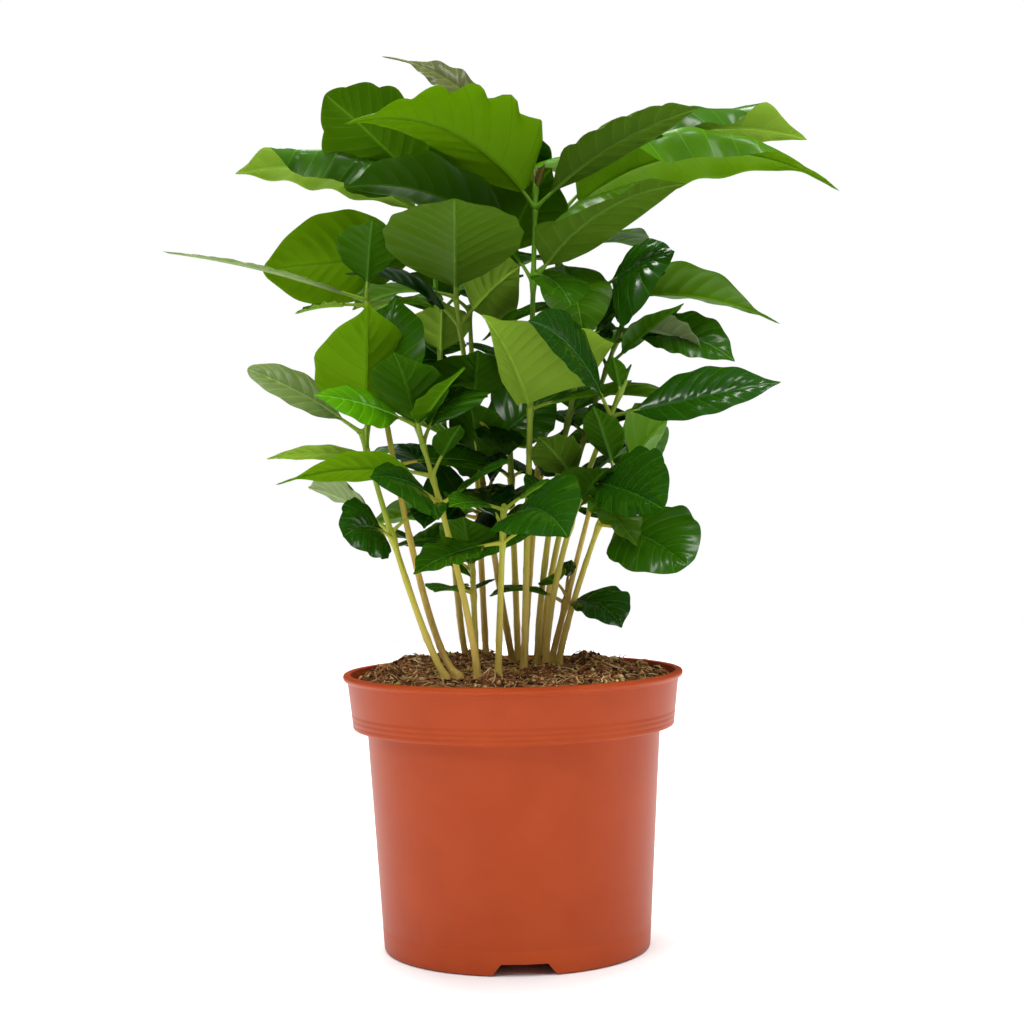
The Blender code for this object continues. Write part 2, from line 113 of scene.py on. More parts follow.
# Each seedling: foot (x, y), top (x, y, z), how the stem bends between them (1 is straight,
# less leans low down and more leans high up), and its pairs of leaves from the soil up:
# the height of the node, one leaf, and the leaf across from it. Where that is None, the
# rule in opposite_leaf grows it.
SEEDLINGS = {
    "01": {"foot": (4, 0), "top": (11, -5, 268), "bend": 1.0, "pairs": (
        (189, to((-8, -46, 219), 38, 30, -15), toward(65, 35, 60, 32)),
        (233, to((61, -38, 262), 28, 55, 25), to((-57, 4, 269), 28, 75, -20)),
        (236, to((22, -26, 223), 22, 50), toward(95, 35, 60, 32)),
        (259, to((-52, -48, 282), 48, 72, -30), to((67, -28, 289), 30, 32, 40)),
        (266, to((10, -2, 280), 6, 10), to((16, -10, 279), 6, 10)))},
    "02": {"foot": (0, 26), "top": (-18, 0, 230), "bend": 0.9, "pairs": (
        (150, to((-32, 4, 160), 28, 30, 50), None),
        (172, to((18, 8, 195), 30, 20, -50), None),
        (187, to((-10, -32, 209), 30, 20), to((0, -8, 173), 20, 30)),
        (219, to((5, 14, 241), 34, 20, 75), to((-57, 0, 238), 30, 60)),
        (229, to((-16, -62, 255), 46, 10), toward(95, 35, 60, 32)))},
    "03": {"foot": (-12, -31), "top": (-31, -30, 184), "bend": 1.3, "pairs": (
        (156, to((-45, -60, 166), 29, 40, 50), to((1, -48, 171), 14, 20, -20)),
        (157, to((-28, -56, 149), 12, 50), None),
        (166, to((-77, -48, 164), 24, 35, -45), to((-16, -38, 183), 15, 20)),
        (177, to((-37, -52, 207), 32, 20), None),
        (183, to((-63, -56, 193), 22, 20, 55), to((-14, -56, 201), 16, 15, -30)))},
    "04": {"foot": (-18, -31), "top": (-49, -5, 228), "bend": 0.6, "pairs": (
        (170, to((-83, -22, 173), 18, 30, -30), None),
        (226, to((-73, -16, 223), 10, 30), None),
        (228, to((-115, -34, 243), 24, 14, 5), to((-44, -14, 252), 22, 30)))},
    "05": {"foot": (-22.6, -31), "top": (-50, -28, 182), "bend": 0.8, "pairs": (
        (145, to((-54, -58, 147), 34, 50, 60), None),
        (147, to((-70, -24, 163), 22, 30, -35), None),
        (176, to((-46, -50, 224), 36, 10, -15), to((-38, -12, 229), 42, 15)),
        (181, to((-87, -36, 203), 26, 16, 45), None))},
    "06": {"foot": (-17, 38), "top": (-27, 25, 268), "bend": 0.6, "pairs": (
        (205, to((-23, 6, 229), 22, 10), None),
        (224, toward(120, 30, 46), None),
        (246, to((-86, 2, 240), 42, 8, -60), None),
        (258, to((-96, 8, 275), 27, 62, -35), toward(30, 15, 52, 26, 50)),
        (266, to((-62, -6, 300), 46, 15, -35), toward(60, 12, 44, 26, 50)))},
    "07": {"foot": (-5, -26), "top": (-2, -28, 156), "bend": 1.0, "pairs": (
        (143, to((-32, -52, 134), 18, 25, 20), to((10, -38, 151), 9, 10)),
        (147, to((18, -86, 146), 31, 60, -35), None),
        (154, to((14, -40, 164), 11, 20, -20), to((-20, -46, 156), 13, 30, 25)))},
    "08": {"foot": (12, 12), "top": (41, -12, 198), "bend": 1.6, "pairs": (
        (148, to((6, -23, 158), 24, 35, 45), None),
        (160, to((10, -18, 179), 24, 20, -30), to((43, -26, 141), 14, 25)),
        (163, to((50, -54, 154), 33, 15, -50), None),
        (186, to((93, -26, 196), 32, 4, -45), to((7, -54, 216), 26, 50, 78)),
        (194, to((36, -22, 206), 7, 15), to((43, -10, 204), 7, 15)))},
    "09": {"foot": (16.6, 12), "top": (38, 0, 165), "bend": 1.2, "pairs": (
        (148, to((60, -26, 134), 38, 30, -35), None),
        (164, to((29, -6, 189), 18, 20), to((57, -6, 186), 30, 10, 40)))},
    "10": {"foot": (14, 20), "top": (30, 12, 158), "bend": 1.0, "pairs": (
        (119, to((39, 4, 111), 26, 80, -15), to((-8, 12, 123), 13, 60)),
        (121, to((22, 18, 135), 13, 30), None),
        (155, toward(100, 30, 50, 28), None))},
    "11": {"foot": (9, 18), "top": (34, 18, 236), "bend": 1.5, "pairs": (
        (185, toward(70, 35, 50), None),
        (212, to((56, -6, 236), 26, 25, -45), None),
        (228, to((99, 18, 219), 26, 45), None),
        (232, to((59, -8, 243), 40, 20, -38), None))},
    "12": {"foot": (11, 35), "top": (42, 22, 220), "bend": 1.5, "pairs": (
        (180, toward(110, 30, 44, 28), None),
        (205, to((63, 4, 226), 20, 10), None),
        (214, to((81, 6, 205), 22, 60, -45), None),
        (218, to((71, 8, 207), 18, 50, 40), None))},
    "13": {"foot": (4.5, 31), "top": (22, 38, 265), "bend": 1.2, "pairs": (
        (150, toward(60, 30, 40, 28), None),
        (175, toward(150, 30, 48), None),
        (210, toward(75, 35, 38), None),
        (245, to((27, -6, 212), 26, 50), toward(100, 20, 30, 24, 40)),
        (262, to((116, 32, 268), 28, 82, 45), toward(190, 25, 50, 26, 50)),
        (264, to((114, 46, 290), 30, 70, 45), toward(140, 40, 44, 24, 50)))},
    "14": {"foot": (2, 38), "top": (-2, 22, 292), "bend": 1.0, "pairs": (
        (165, to((-26, 24, 178), 30, 30, 50), None),
        (205, toward(150, 35, 50), None),
        (240, toward(115, 35, 50), None),
        (270, toward(60, 35, 50), None),
        (290, to((-42, 30, 319), 15, 52, 50), toward(80, 10, 40, 18, 50)))},
    "15": {"foot": (-10, 42), "top": (-14, 44, 230), "bend": 1.0, "pairs": (
        (150, toward(60, 30, 40, 28), None),
        (168, toward(140, 30, 40, 26), None),
        (185, toward(165, 35, 50), None),
        (207, toward(60, 35, 38), None),
        (228, toward(75, 40, 38), None))},
    "16": {"foot": (-13, 6), "top": (-14, 8, 140), "bend": 1.0, "pairs": (
        (124, to((-27, -10, 126), 18, 30), None),
        (132, to((-24, -4, 137), 24, 30, 40), None),
        (138, to((8, -24, 146), 26, 30, -45), None))},
}

# ---------------------------------------------------------------- tones of the leaves

# Tops and undersides by tone: base colour, then roughness. Each side of a leaf has three
# materials: its blade, its veins and its rib. The tones are partly the leaves' own greens and
# partly painted light and shade. The near-black tone paints the deep shade inside the crown. The
# bright yellow-green undersides of the light and pale tones paint light shining through the
# blade. The grey-green tone paints the grey sheen of glossy leaves.
PER_SIDE = 3
TOP_TONES = {
    # Near-black: painted shade deep inside the crown
    "black": ((0.003, 0.022, 0.001), 0.17),
    "dark": ((0.011, 0.058, 0.001), 0.20),
    "mid": ((0.028, 0.112, 0.001), 0.24),
    "light": ((0.062, 0.185, 0.002), 0.27),
    "young": ((0.068, 0.240, 0.001), 0.24),
    "pale": ((0.042, 0.135, 0.005), 0.24),
    "olive": ((0.045, 0.120, 0.001), 0.28),
    "bronze": ((0.085, 0.105, 0.022), 0.30),
    # A grey-green that paints the grey sheen of glossy leaves: painted reflection
    "painted_sheen": ((0.125, 0.190, 0.045), 0.32),
    "bud": ((0.075, 0.100, 0.012), 0.40),
}
UNDER_TONES = {
    # Near-black: painted shade deep inside the crown
    "black": ((0.006, 0.032, 0.001), 0.45),
    "dark": ((0.032, 0.105, 0.001), 0.45),
    "mid": ((0.066, 0.172, 0.001), 0.48),
    # The light and pale undersides' bright yellow-green is painted light shining through the
    # blade
    "light": ((0.118, 0.268, 0.001), 0.50),
    "young": ((0.120, 0.300, 0.002), 0.48),
    "pale": ((0.230, 0.390, 0.030), 0.50),
    "olive": ((0.062, 0.132, 0.006), 0.46),
    "bronze": ((0.100, 0.150, 0.015), 0.50),
    # A grey-green that paints the grey sheen of glossy leaves: painted reflection
    "painted_sheen": ((0.190, 0.260, 0.100), 0.48),
    "bud": ((0.110, 0.085, 0.015), 0.50),
}
OTHER_TONES = ("dark", "dark", "mid", "mid", "light")
UNDER_SHINE = 0.04
# How bright veins and rib are against the blade: on top, and on the underside by tone. The top's
# paler veins are partly the veins' own colour and partly painted highlight. The darker veins and
# rib on the light tone's undersides are painted shade where light shines through the blade.
VEIN_LIFT = 1.55
RIB_LIFT = 2.1
LEAST_LIFT = 0.006
RIB_ROUGHER = 0.1
UNDER_LIFTS = {"light": (0.84, 0.74), "pale": (1.1, 1.3)}
OTHER_UNDER_LIFTS = (1.2, 1.5)


def look(tone, wave=None, girths=(1.0, 1.0), lean=1.0, blunt=0.0, drip=0.0, roll=0.0,
         petiole=PETIOLE, stretch=1.0, lobes=None, notch=0.0, curl=(0, 0)):
    """How a leaf looks: its tone; how far its margins wave; how wide its two halves are
    against the solid's; below 1, how far its widest place leans to the base; how blunt it
    ends; the share that is a thin drip tip; a further roll; the length of its petiole; how
    much longer it is than the solid; how many waves its margin has and how deep the notches
    between them are; and by how many degrees each half's margin curls under."""
    return {"tone": tone, "wave": wave, "girths": girths, "lean": lean, "blunt": blunt,
            "drip": drip, "look_roll": roll, "petiole": petiole, "stretch": stretch,
            "lobes": lobes, "notch": notch, "curl": curl}


# The looks of the leaves that show well, by seedling and height of the node, for the first and
# the second leaf of the pair; a bare tone is a look with nothing else to it. The other leaves
# take a tone by chance. Each tone here was set to how dark or bright that leaf looks where it
# stands. So besides the leaf's own green, a tone paints its light or shade: darker for leaves in
# shade, lighter for leaves lit from behind or lying in another's shadow.
LOOKS = {
    ("01", 189): (look("pale", 0.4, (1.85, 0.35), 0.36, petiole=3.0), "mid"),
    ("01", 233): (look("olive", 0.9, (1.15, 1.2), 0.75, lobes=3.0, notch=0.14, curl=(0, 80)),
                  look("dark", 1.0, (1.5, 1.5))),
    ("01", 236): ("mid", "mid"),
    ("01", 259): (look("light", 0.9, (0.92, 0.50), 0.6, lobes=6.5, notch=0.22),
                  look("olive", 0.6, (0.45, 1.0), lobes=6.0, notch=0.12, curl=(0, 60))),
    ("01", 266): (look("bud", 0.1, (0.6, 0.6)), look("bud", 0.1, (0.6, 0.6))),
    ("02", 172): ("mid", "mid"),
    ("02", 187): ("dark", "black"),
    ("02", 219): (look("pale", 0.6, (1.2, 1.2)), "black"),
    ("02", 229): (look("olive", 0.4, (1.0, 1.05), 0.85, 0.5), "mid"),
    ("03", 156): (look("dark", 0.5, (1.4, 0.45)), "dark"),
    ("03", 166): (look("light", 0.3, (0.6, 0.6), 0.85, 0.0, 0.12), "dark"),
    ("03", 177): (look("dark", 0.5, (0.85, 0.85)), "mid"),
    ("03", 183): (look("young", 0.4, (1.0, 0.55)),
                  look("mid", 0.4, (1.35, 1.35), petiole=2.0)),
    ("04", 170): (look("pale", 0.2, (0.55, 0.55)), "mid"),
    ("04", 226): (look("pale", 0.6), "mid"),
    ("04", 228): (look("painted_sheen", 0.5, (0.35, 0.35)), look("dark", 0.6)),
    ("05", 145): (look("dark", 1.0, (0.75, 0.6), 0.9, 0.6), "dark"),
    ("05", 147): (look("painted_sheen", 0.8), "dark"),
    ("05", 176): (look("light", 0.5), "mid"),
    ("05", 181): (look("painted_sheen", 0.3, (0.68, 0.68), 1.0, 0.9), "dark"),
    ("06", 205): ("pale", "mid"),
    ("06", 246): (look("light", 0.3, (0.88, 0.88), 1.0, 0.4), "mid"),
    ("06", 258): (look("pale", 1.6, (1.7, 0.95), curl=(140, 0)), "mid"),
    ("06", 266): (look("mid", 0.9, (0.88, 0.88), 0.8, 0.55, roll=-27, lobes=5.0, notch=0.12),
                  "mid"),
    ("07", 143): (look("mid", 0.8), "dark"),
    ("07", 147): (look("dark", 0.6), "black"),
    ("07", 154): ("mid", "mid"),
    ("08", 160): (look("olive", 0.8, (0.75, 0.75)), look("olive", 1.2, (1.3, 1.3), petiole=3.0)),
    ("08", 163): (look("dark", 0.9, (1.0, 0.6), 1.0, 0.4), "dark"),
    ("08", 186): (look("dark", 0.4, (0.8, 0.8)), look("dark", 0.4, (0.8, 0.8))),
    ("08", 194): (look("dark", petiole=2.5), look("dark", petiole=1.5)),
    ("09", 148): (look("mid", 0.8, (0.88, 0.88), 1.0, 0.8), "dark"),
    ("09", 164): (look("dark", 0.4, (0.8, 0.8)), look("mid", 0.5, (1.3, 1.3))),
    ("10", 119): (look("dark", 0.6, petiole=3.0), "dark"),
    ("11", 212): ("dark", "mid"),
    ("11", 228): (look("mid", 0.5, (1.8, 1.8), 0.7, 0.0, 0.1, roll=10), "mid"),
    ("11", 232): (look("dark", 0.6, (0.45, 1.4), roll=-28), "dark"),
    ("12", 205): ("dark", "mid"),
    ("12", 214): (look("mid", 0.6), "mid"),
    ("12", 218): (look("painted_sheen", 0.5), "mid"),
    ("13", 245): (look("light", 0.5), "mid"),
    ("13", 262): (look("light", 1.6, (1.2, 1.9), 0.7, 0.0, 0.12, stretch=1.08,
                       curl=(0, 140)), "mid"),
    ("13", 264): (look("pale", 2.0, (0.9, 1.5), 0.9, curl=(0, 110)), "mid"),
    ("14", 240): ("light", "mid"),
    ("14", 290): (look("bronze", 0.8, (0.9, 0.9), 0.9, 0.0, 0.2, stretch=1.06), "mid"),
}

# Small leaves low in the crown, among the stems, that the solids leave out: the seedling, the
# height on its stem, the leaf and its tone. Their dark and near-black tones paint the shade
# among the stems.
INNER = (
    ("02", 163, to((-14, -12, 194), 26, 20, 15), "dark"),
    ("02", 156, to((4, 4, 186), 26, 25, -10), "black"),
    ("13", 158, to((24, 12, 186), 28, 30, -20), "black"),
    ("16", 128, to((-16, -14, 152), 22, 30, 10), "dark"),
    ("16", 135, to((4, -6, 160), 24, 30, -10), "black"),
    ("08", 152, to((34, -14, 168), 24, 25, 10), "dark"),
    ("06", 160, to((-40, 14, 178), 24, 25, -10), "black"),
)


# ---------------------------------------------------------------- meshes

def evaluated_mesh(obj):
    graph = bpy.context.evaluated_depsgraph_get()
    graph.update()
    return bpy.data.meshes.new_from_object(obj.evaluated_get(graph))


def linked(name, data):
    obj = bpy.data.objects.new(name, data)
    bpy.context.scene.collection.objects.link(obj)
    return obj


# ---------------------------------------------------------------- stems

def stem_point(seedling, height):
    foot = seedling["foot"]
    top = seedling["top"]
    low = GROUND + UPRIGHT
    share = max(0.0, (height - low) / (top[2] - low)) ** seedling["bend"]
    return Vector((foot[0] + (top[0] - foot[0]) * share,
                   foot[1] + (top[1] - foot[1]) * share, height))


def stem_radius(seedling, height):
    above = max(0.0, height - GROUND)
    share = above / (seedling["top"][2] - GROUND)
    flare = FLARE * max(0.0, 1.0 - above / FLARE_HEIGHT) ** 2
    return FOOT_RADIUS + (TOP_RADIUS - FOOT_RADIUS) * share + flare


def limb_tree(seedling, heights):
    """The solids' stem through the given heights, as a tree for the test of the leaves."""
    curve = bpy.data.curves.new("probe", "CURVE")
    curve.dimensions = "3D"
    curve.bevel_depth = MM
    curve.bevel_resolution = 1
    curve.use_fill_caps = True
    spline = curve.splines.new("POLY")
    spline.points.add(len(heights) - 1)
    for point, height in zip(spline.points, heights):
        point.co = (*(stem_point(seedling, height) * MM), 1.0)
        point.radius = stem_radius(seedling, height)
    probe = linked("probe", curve)
    mesh = evaluated_mesh(probe)
    tree = BVHTree.FromPolygons([vertex.co.copy() for vertex in mesh.vertices],
                                [tuple(polygon.vertices) for polygon in mesh.polygons])
    bpy.data.objects.remove(probe, do_unlink=True)
    bpy.data.curves.remove(curve)
    bpy.data.meshes.remove(mesh)
    return tree


def even_heights(low, high, count):
    return [low + (high - low) * i / (count - 1) for i in range(count)]


def joint_height(seedling):
    return seedling["pairs"][0][0] - JOINT_BELOW_LEAVES


def bare_heights(seedling):
    """The foot stands upright for its first millimetre, so that its cut is level."""
    start = [GROUND, GROUND + UPRIGHT, GROUND + FLARE_HEIGHT / 2]
    high = joint_height(seedling) - JOINT_GAP / 2
    return start + even_heights(GROUND + FLARE_HEIGHT, high, STEM_POINTS - 3)


def leafy_heights(seedling):
    low = joint_height(seedling) + JOINT_GAP / 2
    return even_heights(low, seedling["top"][2], STEM_POINTS - 2)


# ---------------------------------------------------------------- leaves

def resolved(start, leaf):
    """The leaf with its direction and length worked out where only its tip is known."""
    if "tip" not in leaf:
        return leaf
    chord = Vector(leaf["tip"]) - start
    half_droop = math.radians(leaf["droop"]) / 2
    arc = chord.length * half_droop / math.sin(half_droop)
    return {**leaf, "azimuth": math.degrees(math.atan2(chord.y, chord.x)),
            "rise": math.degrees(math.asin(chord.z / chord.length)) + leaf["droop"] / 2,
            "length": arc - PETIOLE}


def opposite_leaf(leaf, chance):
    """The other leaf of a pair: as large, across the stem and more level."""
    return {"azimuth": leaf["azimuth"] + 180 + chance.uniform(-12, 12),
            "rise": min(55, max(20, leaf["rise"])) + chance.uniform(-6, 6),
            "length": leaf["length"] * chance.uniform(0.85, 0.98),
            "width": leaf["width"], "droop": chance.uniform(30, 55),
            "roll": chance.uniform(-40, 40)}


def along_midrib(start, leaf, total, share, roll):
    """At shares of the bent midrib: its points, and the ways from there across to the right
    margin and up, with the blade rolled by an angle in radians."""
    azimuth, rise, droop = (math.radians(leaf[key]) for key in ("azimuth", "rise", "droop"))
    bend = droop * share

    def way(elevation):
        return np.stack((np.cos(elevation) * math.cos(azimuth),
                         np.cos(elevation) * math.sin(azimuth), np.sin(elevation)), axis=1)

    reach = total * share * np.sinc(bend / 2 / math.pi)
    centre = np.array(start) + reach[:, None] * way(rise - bend / 2)
    ahead = way(rise - bend)
    level = np.array((math.sin(azimuth), -math.cos(azimuth), 0.0))
    roll = np.broadcast_to(roll, share.shape)[:, None]
    across = level * np.cos(roll) + np.cross(level, ahead) * np.sin(roll)
    return centre, across, np.cross(across, ahead)


def leaf_tree(start, leaf):
    """The solids' blade on its petiole, larger by the clearance: a folded lens-shaped
    section at each station."""
    total = PETIOLE + leaf["length"]
    stations = [(0.0, PETIOLE_HALF_WIDTH), (PETIOLE / total, PETIOLE_HALF_WIDTH)]
    for place, width in HALF_WIDTHS:
        share = (PETIOLE + place * leaf["length"]) / total
        stations.append((share, width * leaf["width"] / 2))
    shares = np.array([share for share, _ in stations] + [1.0])
    frames = along_midrib(start, leaf, total, shares, math.radians(leaf["roll"]))
    thick = LEAF_THICKNESS / 2 + CLEARANCE
    work = bmesh.new()
    rings = []
    for (_, half_width), centre, across, up in zip(stations, *frames):
        fold = math.radians(LEAF_FOLD) if half_width > PETIOLE_HALF_WIDTH else 0.0
        out = across * math.cos(fold) * (half_width + CLEARANCE)
        lift = up * math.sin(fold) * (half_width + CLEARANCE)
        corners = (centre - out + lift, centre + up * thick, centre + out + lift,
                   centre - up * thick)
        rings.append([work.verts.new(corner * MM) for corner in corners])
    tip = work.verts.new(frames[0][-1] * MM)
    work.faces.new(rings[0])
    for near, far in zip(rings, rings[1:]):
        for i in range(4):
            work.faces.new((near[i], near[i - 1], far[i - 1], far[i]))
    for i in range(4):
        work.faces.new((rings[-1][i], rings[-1][i - 1], tip))
    bmesh.ops.recalc_face_normals(work, faces=work.faces)
    bmesh.ops.triangulate(work, faces=work.faces)
    tree = BVHTree.FromBMesh(work)
    work.free()
    return tree


def shifted(leaf):
    """The leaf as drawn, then where it may go when something is in its way."""
    if "tip" in leaf:
        for shift in TIP_SHIFTS:
            x, y, z = leaf["tip"]
            yield {**leaf, "tip": (x, y + shift, z)}
    else:
        for size in SIZES:
            for lift in LIFTS:
                for turn in TURNS:
                    yield {**leaf, "azimuth": leaf["azimuth"] + turn,
                           "rise": leaf["rise"] + lift,
                           "length": leaf["length"] * size,
                           "width": leaf["width"] * size}


def placed_leaf(name, start, leaf, taken):
    """The first free place of a leaf among the other seedlings, or None."""
    for choice in shifted(leaf):
        choice = resolved(start, choice)
        tree = leaf_tree(start, choice)
        if not any(owner != name and tree.overlap(other) for owner, other in taken):
            taken.append((name, tree))
            return choice
    return None


def grown_leaves(taken):
    """All leaves by seedling, as (start, leaf): those known by their tips are placed first,
    then those known by a direction, the opposite leaves that the rule grows, and last the
    small inner leaves."""
    chance = random.Random(SEED)
    waiting = []
    for name, seedling in SEEDLINGS.items():
        for height, first, second in seedling["pairs"]:
            start = stem_point(seedling, height)
            looks = LOOKS.get((name, height), (None, None))
            if second is None:
                grown = opposite_leaf(resolved(start, first), chance)
                waiting.append((2, name, start, {**grown, "look": looks[1]}))
            else:
                waiting.append((0 if "tip" in second else 1, name, start,
                                {**second, "look": looks[1]}))
            waiting.append((0 if "tip" in first else 1, name, start,
                            {**first, "look": looks[0]}))
    for name, height, leaf, tone in INNER:
        waiting.append((3, name, stem_point(SEEDLINGS[name], height),
                        {**leaf, "look": tone}))
    leaves = {name: [] for name in SEEDLINGS}
    for turn, name, start, leaf in sorted(waiting, key=lambda entry: entry[0]):
        choice = placed_leaf(name, start, leaf, taken)
        if choice is not None:
            leaves[name].append((start, choice))
    return leaves


# ---------------------------------------------------------------- plain materials

def principled(name, color, roughness, specular=0.5):
    material = bpy.data.materials.new(name)
    material.use_nodes = True
    shader = material.node_tree.nodes["Principled BSDF"]
    shader.inputs["Base Color"].default_value = (*color, 1.0)
    shader.inputs["Roughness"].default_value = roughness
    shader.inputs["Specular IOR Level"].default_value = specular
    material.diffuse_color = (*color, 1.0)
    return material


def lifted(color, factor):
    more = LEAST_LIFT if factor > 1 else 0.0
    return tuple(min(1.0, value * factor + more) for value in color)


def leaf_materials():
    """By tone: the materials of the top, its veins and rib, then of the underside's."""
    made = {}
    for tone, (top, top_rough) in TOP_TONES.items():
        under, under_rough = UNDER_TONES[tone]
        vein, rib = UNDER_LIFTS.get(tone, OTHER_UNDER_LIFTS)
        made[tone] = [
            principled("leaf_top_" + tone, top, top_rough),
            principled("leaf_top_vein_" + tone, lifted(top, VEIN_LIFT), top_rough),
            principled("leaf_top_rib_" + tone, lifted(top, RIB_LIFT), top_rough + RIB_ROUGHER)]
        for part, color in (("", under), ("vein_", lifted(under, vein)),
                            ("rib_", lifted(under, rib))):
            made[tone].append(
                principled("leaf_under_" + part + tone, color, under_rough, UNDER_SHINE))
    return made


# ---------------------------------------------------------------- fine leaves

# The blade's half width as a share of the widest, against the share of its length
BLADE_OUTLINE = ((0.0, 0.03), (0.04, 0.13), (0.10, 0.36), (0.19, 0.66), (0.28, 0.86),
                 (0.38, 0.97), (0.48, 1.0), (0.58, 0.97), (0.68, 0.86), (0.77, 0.68),
                 (0.84, 0.48), (0.90, 0.27), (0.95, 0.12), (0.985, 0.045), (1.0, 0.0))
DRIP_WIDTH = 0.06
BUD_LENGTH = 9.0
BUD_PETIOLE = 0.6
FULL_HALF_WIDTH = 20.0
# Pairs of side veins: more than this long, this many
VEIN_COUNTS = ((45.0, 9), (22.0, 7), (0.0, 4))
FIRST_VEIN = 0.075
LAST_VEIN = 0.915
VEIN_SHIFT = 0.15
VEIN = 0.17
VEIN_SLOPE = 0.62
VEIN_EASE = 1.25
# Between two veins: the share of the way, and how far the blade bulges there
BULGES = ((0.27, 0.75), (0.5, 1.0), (0.73, 0.75))
# The rows before the first vein and after the last, as vein_rows has them
BASE_ROWS = [(0.0, 0.0, False), (0.035, 0.0, False)]
TIP_ROWS = [(0.93, 0.3, False), (0.965, 0.0, False), (1.0, 0.0, False)]
# The columns of a half blade, as shares of the way from the midrib to the margin
ACROSS = (0.0, 0.16, 0.34, 0.50, 0.64, 0.77, 0.88, 0.95, 1.0)
MIDRIB = 0.45
MIDRIB_TAPER = 0.6
TROUGH = 0.36
FLATTENING = 0.11
QUILT = 0.6
SWELLS = (0.35, 1.55)
PUCKER = 0.4
PUCKERS_ALONG = 9.7
PUCKERS_ACROSS = 1.3
WAVES = (0.25, 0.95)
LOBES = (3.6, 5.4)
WAVE_WIDTH = 0.04
WAVE_LAG = 1.2
MARGIN_DROP = 1.6
MARGIN_DROP_WIDTH = 4.0
TWIST = 10
THICKNESS = 0.35
RIB_DEPTH = 0.55
RIB_SIDE_DEPTH = 0.15
BULGE_THINNING = 0.12
# Nearer than this, two columns give the section no clear normal
NARROW = 0.05
MARGIN_CREASE = 70.0
CURL_FROM = 2
CURL_MIDDLE = 0.42
CURL_REACH = 0.30
CURL_SPEED = 1.8


def outline(share, style):
    """The half width at a share of the blade, smoothly through BLADE_OUTLINE."""
    places = np.array([p for p, _ in BLADE_OUTLINE])
    widths = np.array([w for _, w in BLADE_OUTLINE])
    slopes = np.gradient(widths, places)
    share = np.clip(share, 0.0, 1.0)
    body = 1.0 - style["drip"]
    inner = np.clip(share / body, 0.0, 1.0) ** style["lean"]
    index = np.clip(np.searchsorted(places, inner, side="right") - 1, 0, len(places) - 2)
    span = places[index + 1] - places[index]
    t = (inner - places[index]) / span
    low, high = widths[index], widths[index + 1]
    out = ((2 * t**3 - 3 * t**2 + 1) * low + (t**3 - 2 * t**2 + t) * span * slopes[index]
           + (3 * t**2 - 2 * t**3) * high + (t**3 - t**2) * span * slopes[index + 1])
    oval = np.sqrt(np.clip(1 - (2 * inner - 1) ** 2, 0, 1))
    out = out + style["blunt"] * np.where(inner > 0.5, oval - out, 0.0)
    thread = DRIP_WIDTH * np.clip((1 - share) * 12, 0, 1) * (share > 0.5)
    return np.maximum(np.maximum(out, 0.0), thread if style["drip"] else 0.0)


def vein_rows(count, half_vein, chance):
    """Rows from base to tip as (place on the midrib, how far it bulges, whether a vein's
    strip begins there)."""
    rows = list(BASE_ROWS)
    step = (LAST_VEIN - FIRST_VEIN) / count
    places = [FIRST_VEIN + step * (index + chance.uniform(-VEIN_SHIFT, VEIN_SHIFT))
              for index in range(count)]
    for place, following in zip(places, places[1:] + [LAST_VEIN]):
        rows.append((place - half_vein, 0.0, True))
        rows.append((place + half_vein, 0.0, False))
        for share, bulge in BULGES:
            rows.append((place + (following - place) * share, bulge, False))
    return rows + TIP_ROWS


def bend_under(columns, degrees, along):
    """Bends the outer part of a half blade down and under, most at the leaf's middle."""
    turns = -math.radians(degrees) * np.exp(-((along - CURL_MIDDLE) / CURL_REACH) ** 4)
    flat = [(lateral, height) for _, lateral, height in columns]
    first = ACROSS[CURL_FROM]
    for index in range(CURL_FROM + 1, len(columns)):
        angle = turns * min(1.0, CURL_SPEED * (ACROSS[index] - first) / (1 - first))
        out = flat[index][0] - flat[index - 1][0]
        up = flat[index][1] - flat[index - 1][1]
        before = columns[index - 1]
        columns[index][1] = before[1] + out * np.cos(angle) - up * np.sin(angle)
        columns[index][2] = before[2] + out * np.sin(angle) + up * np.cos(angle)


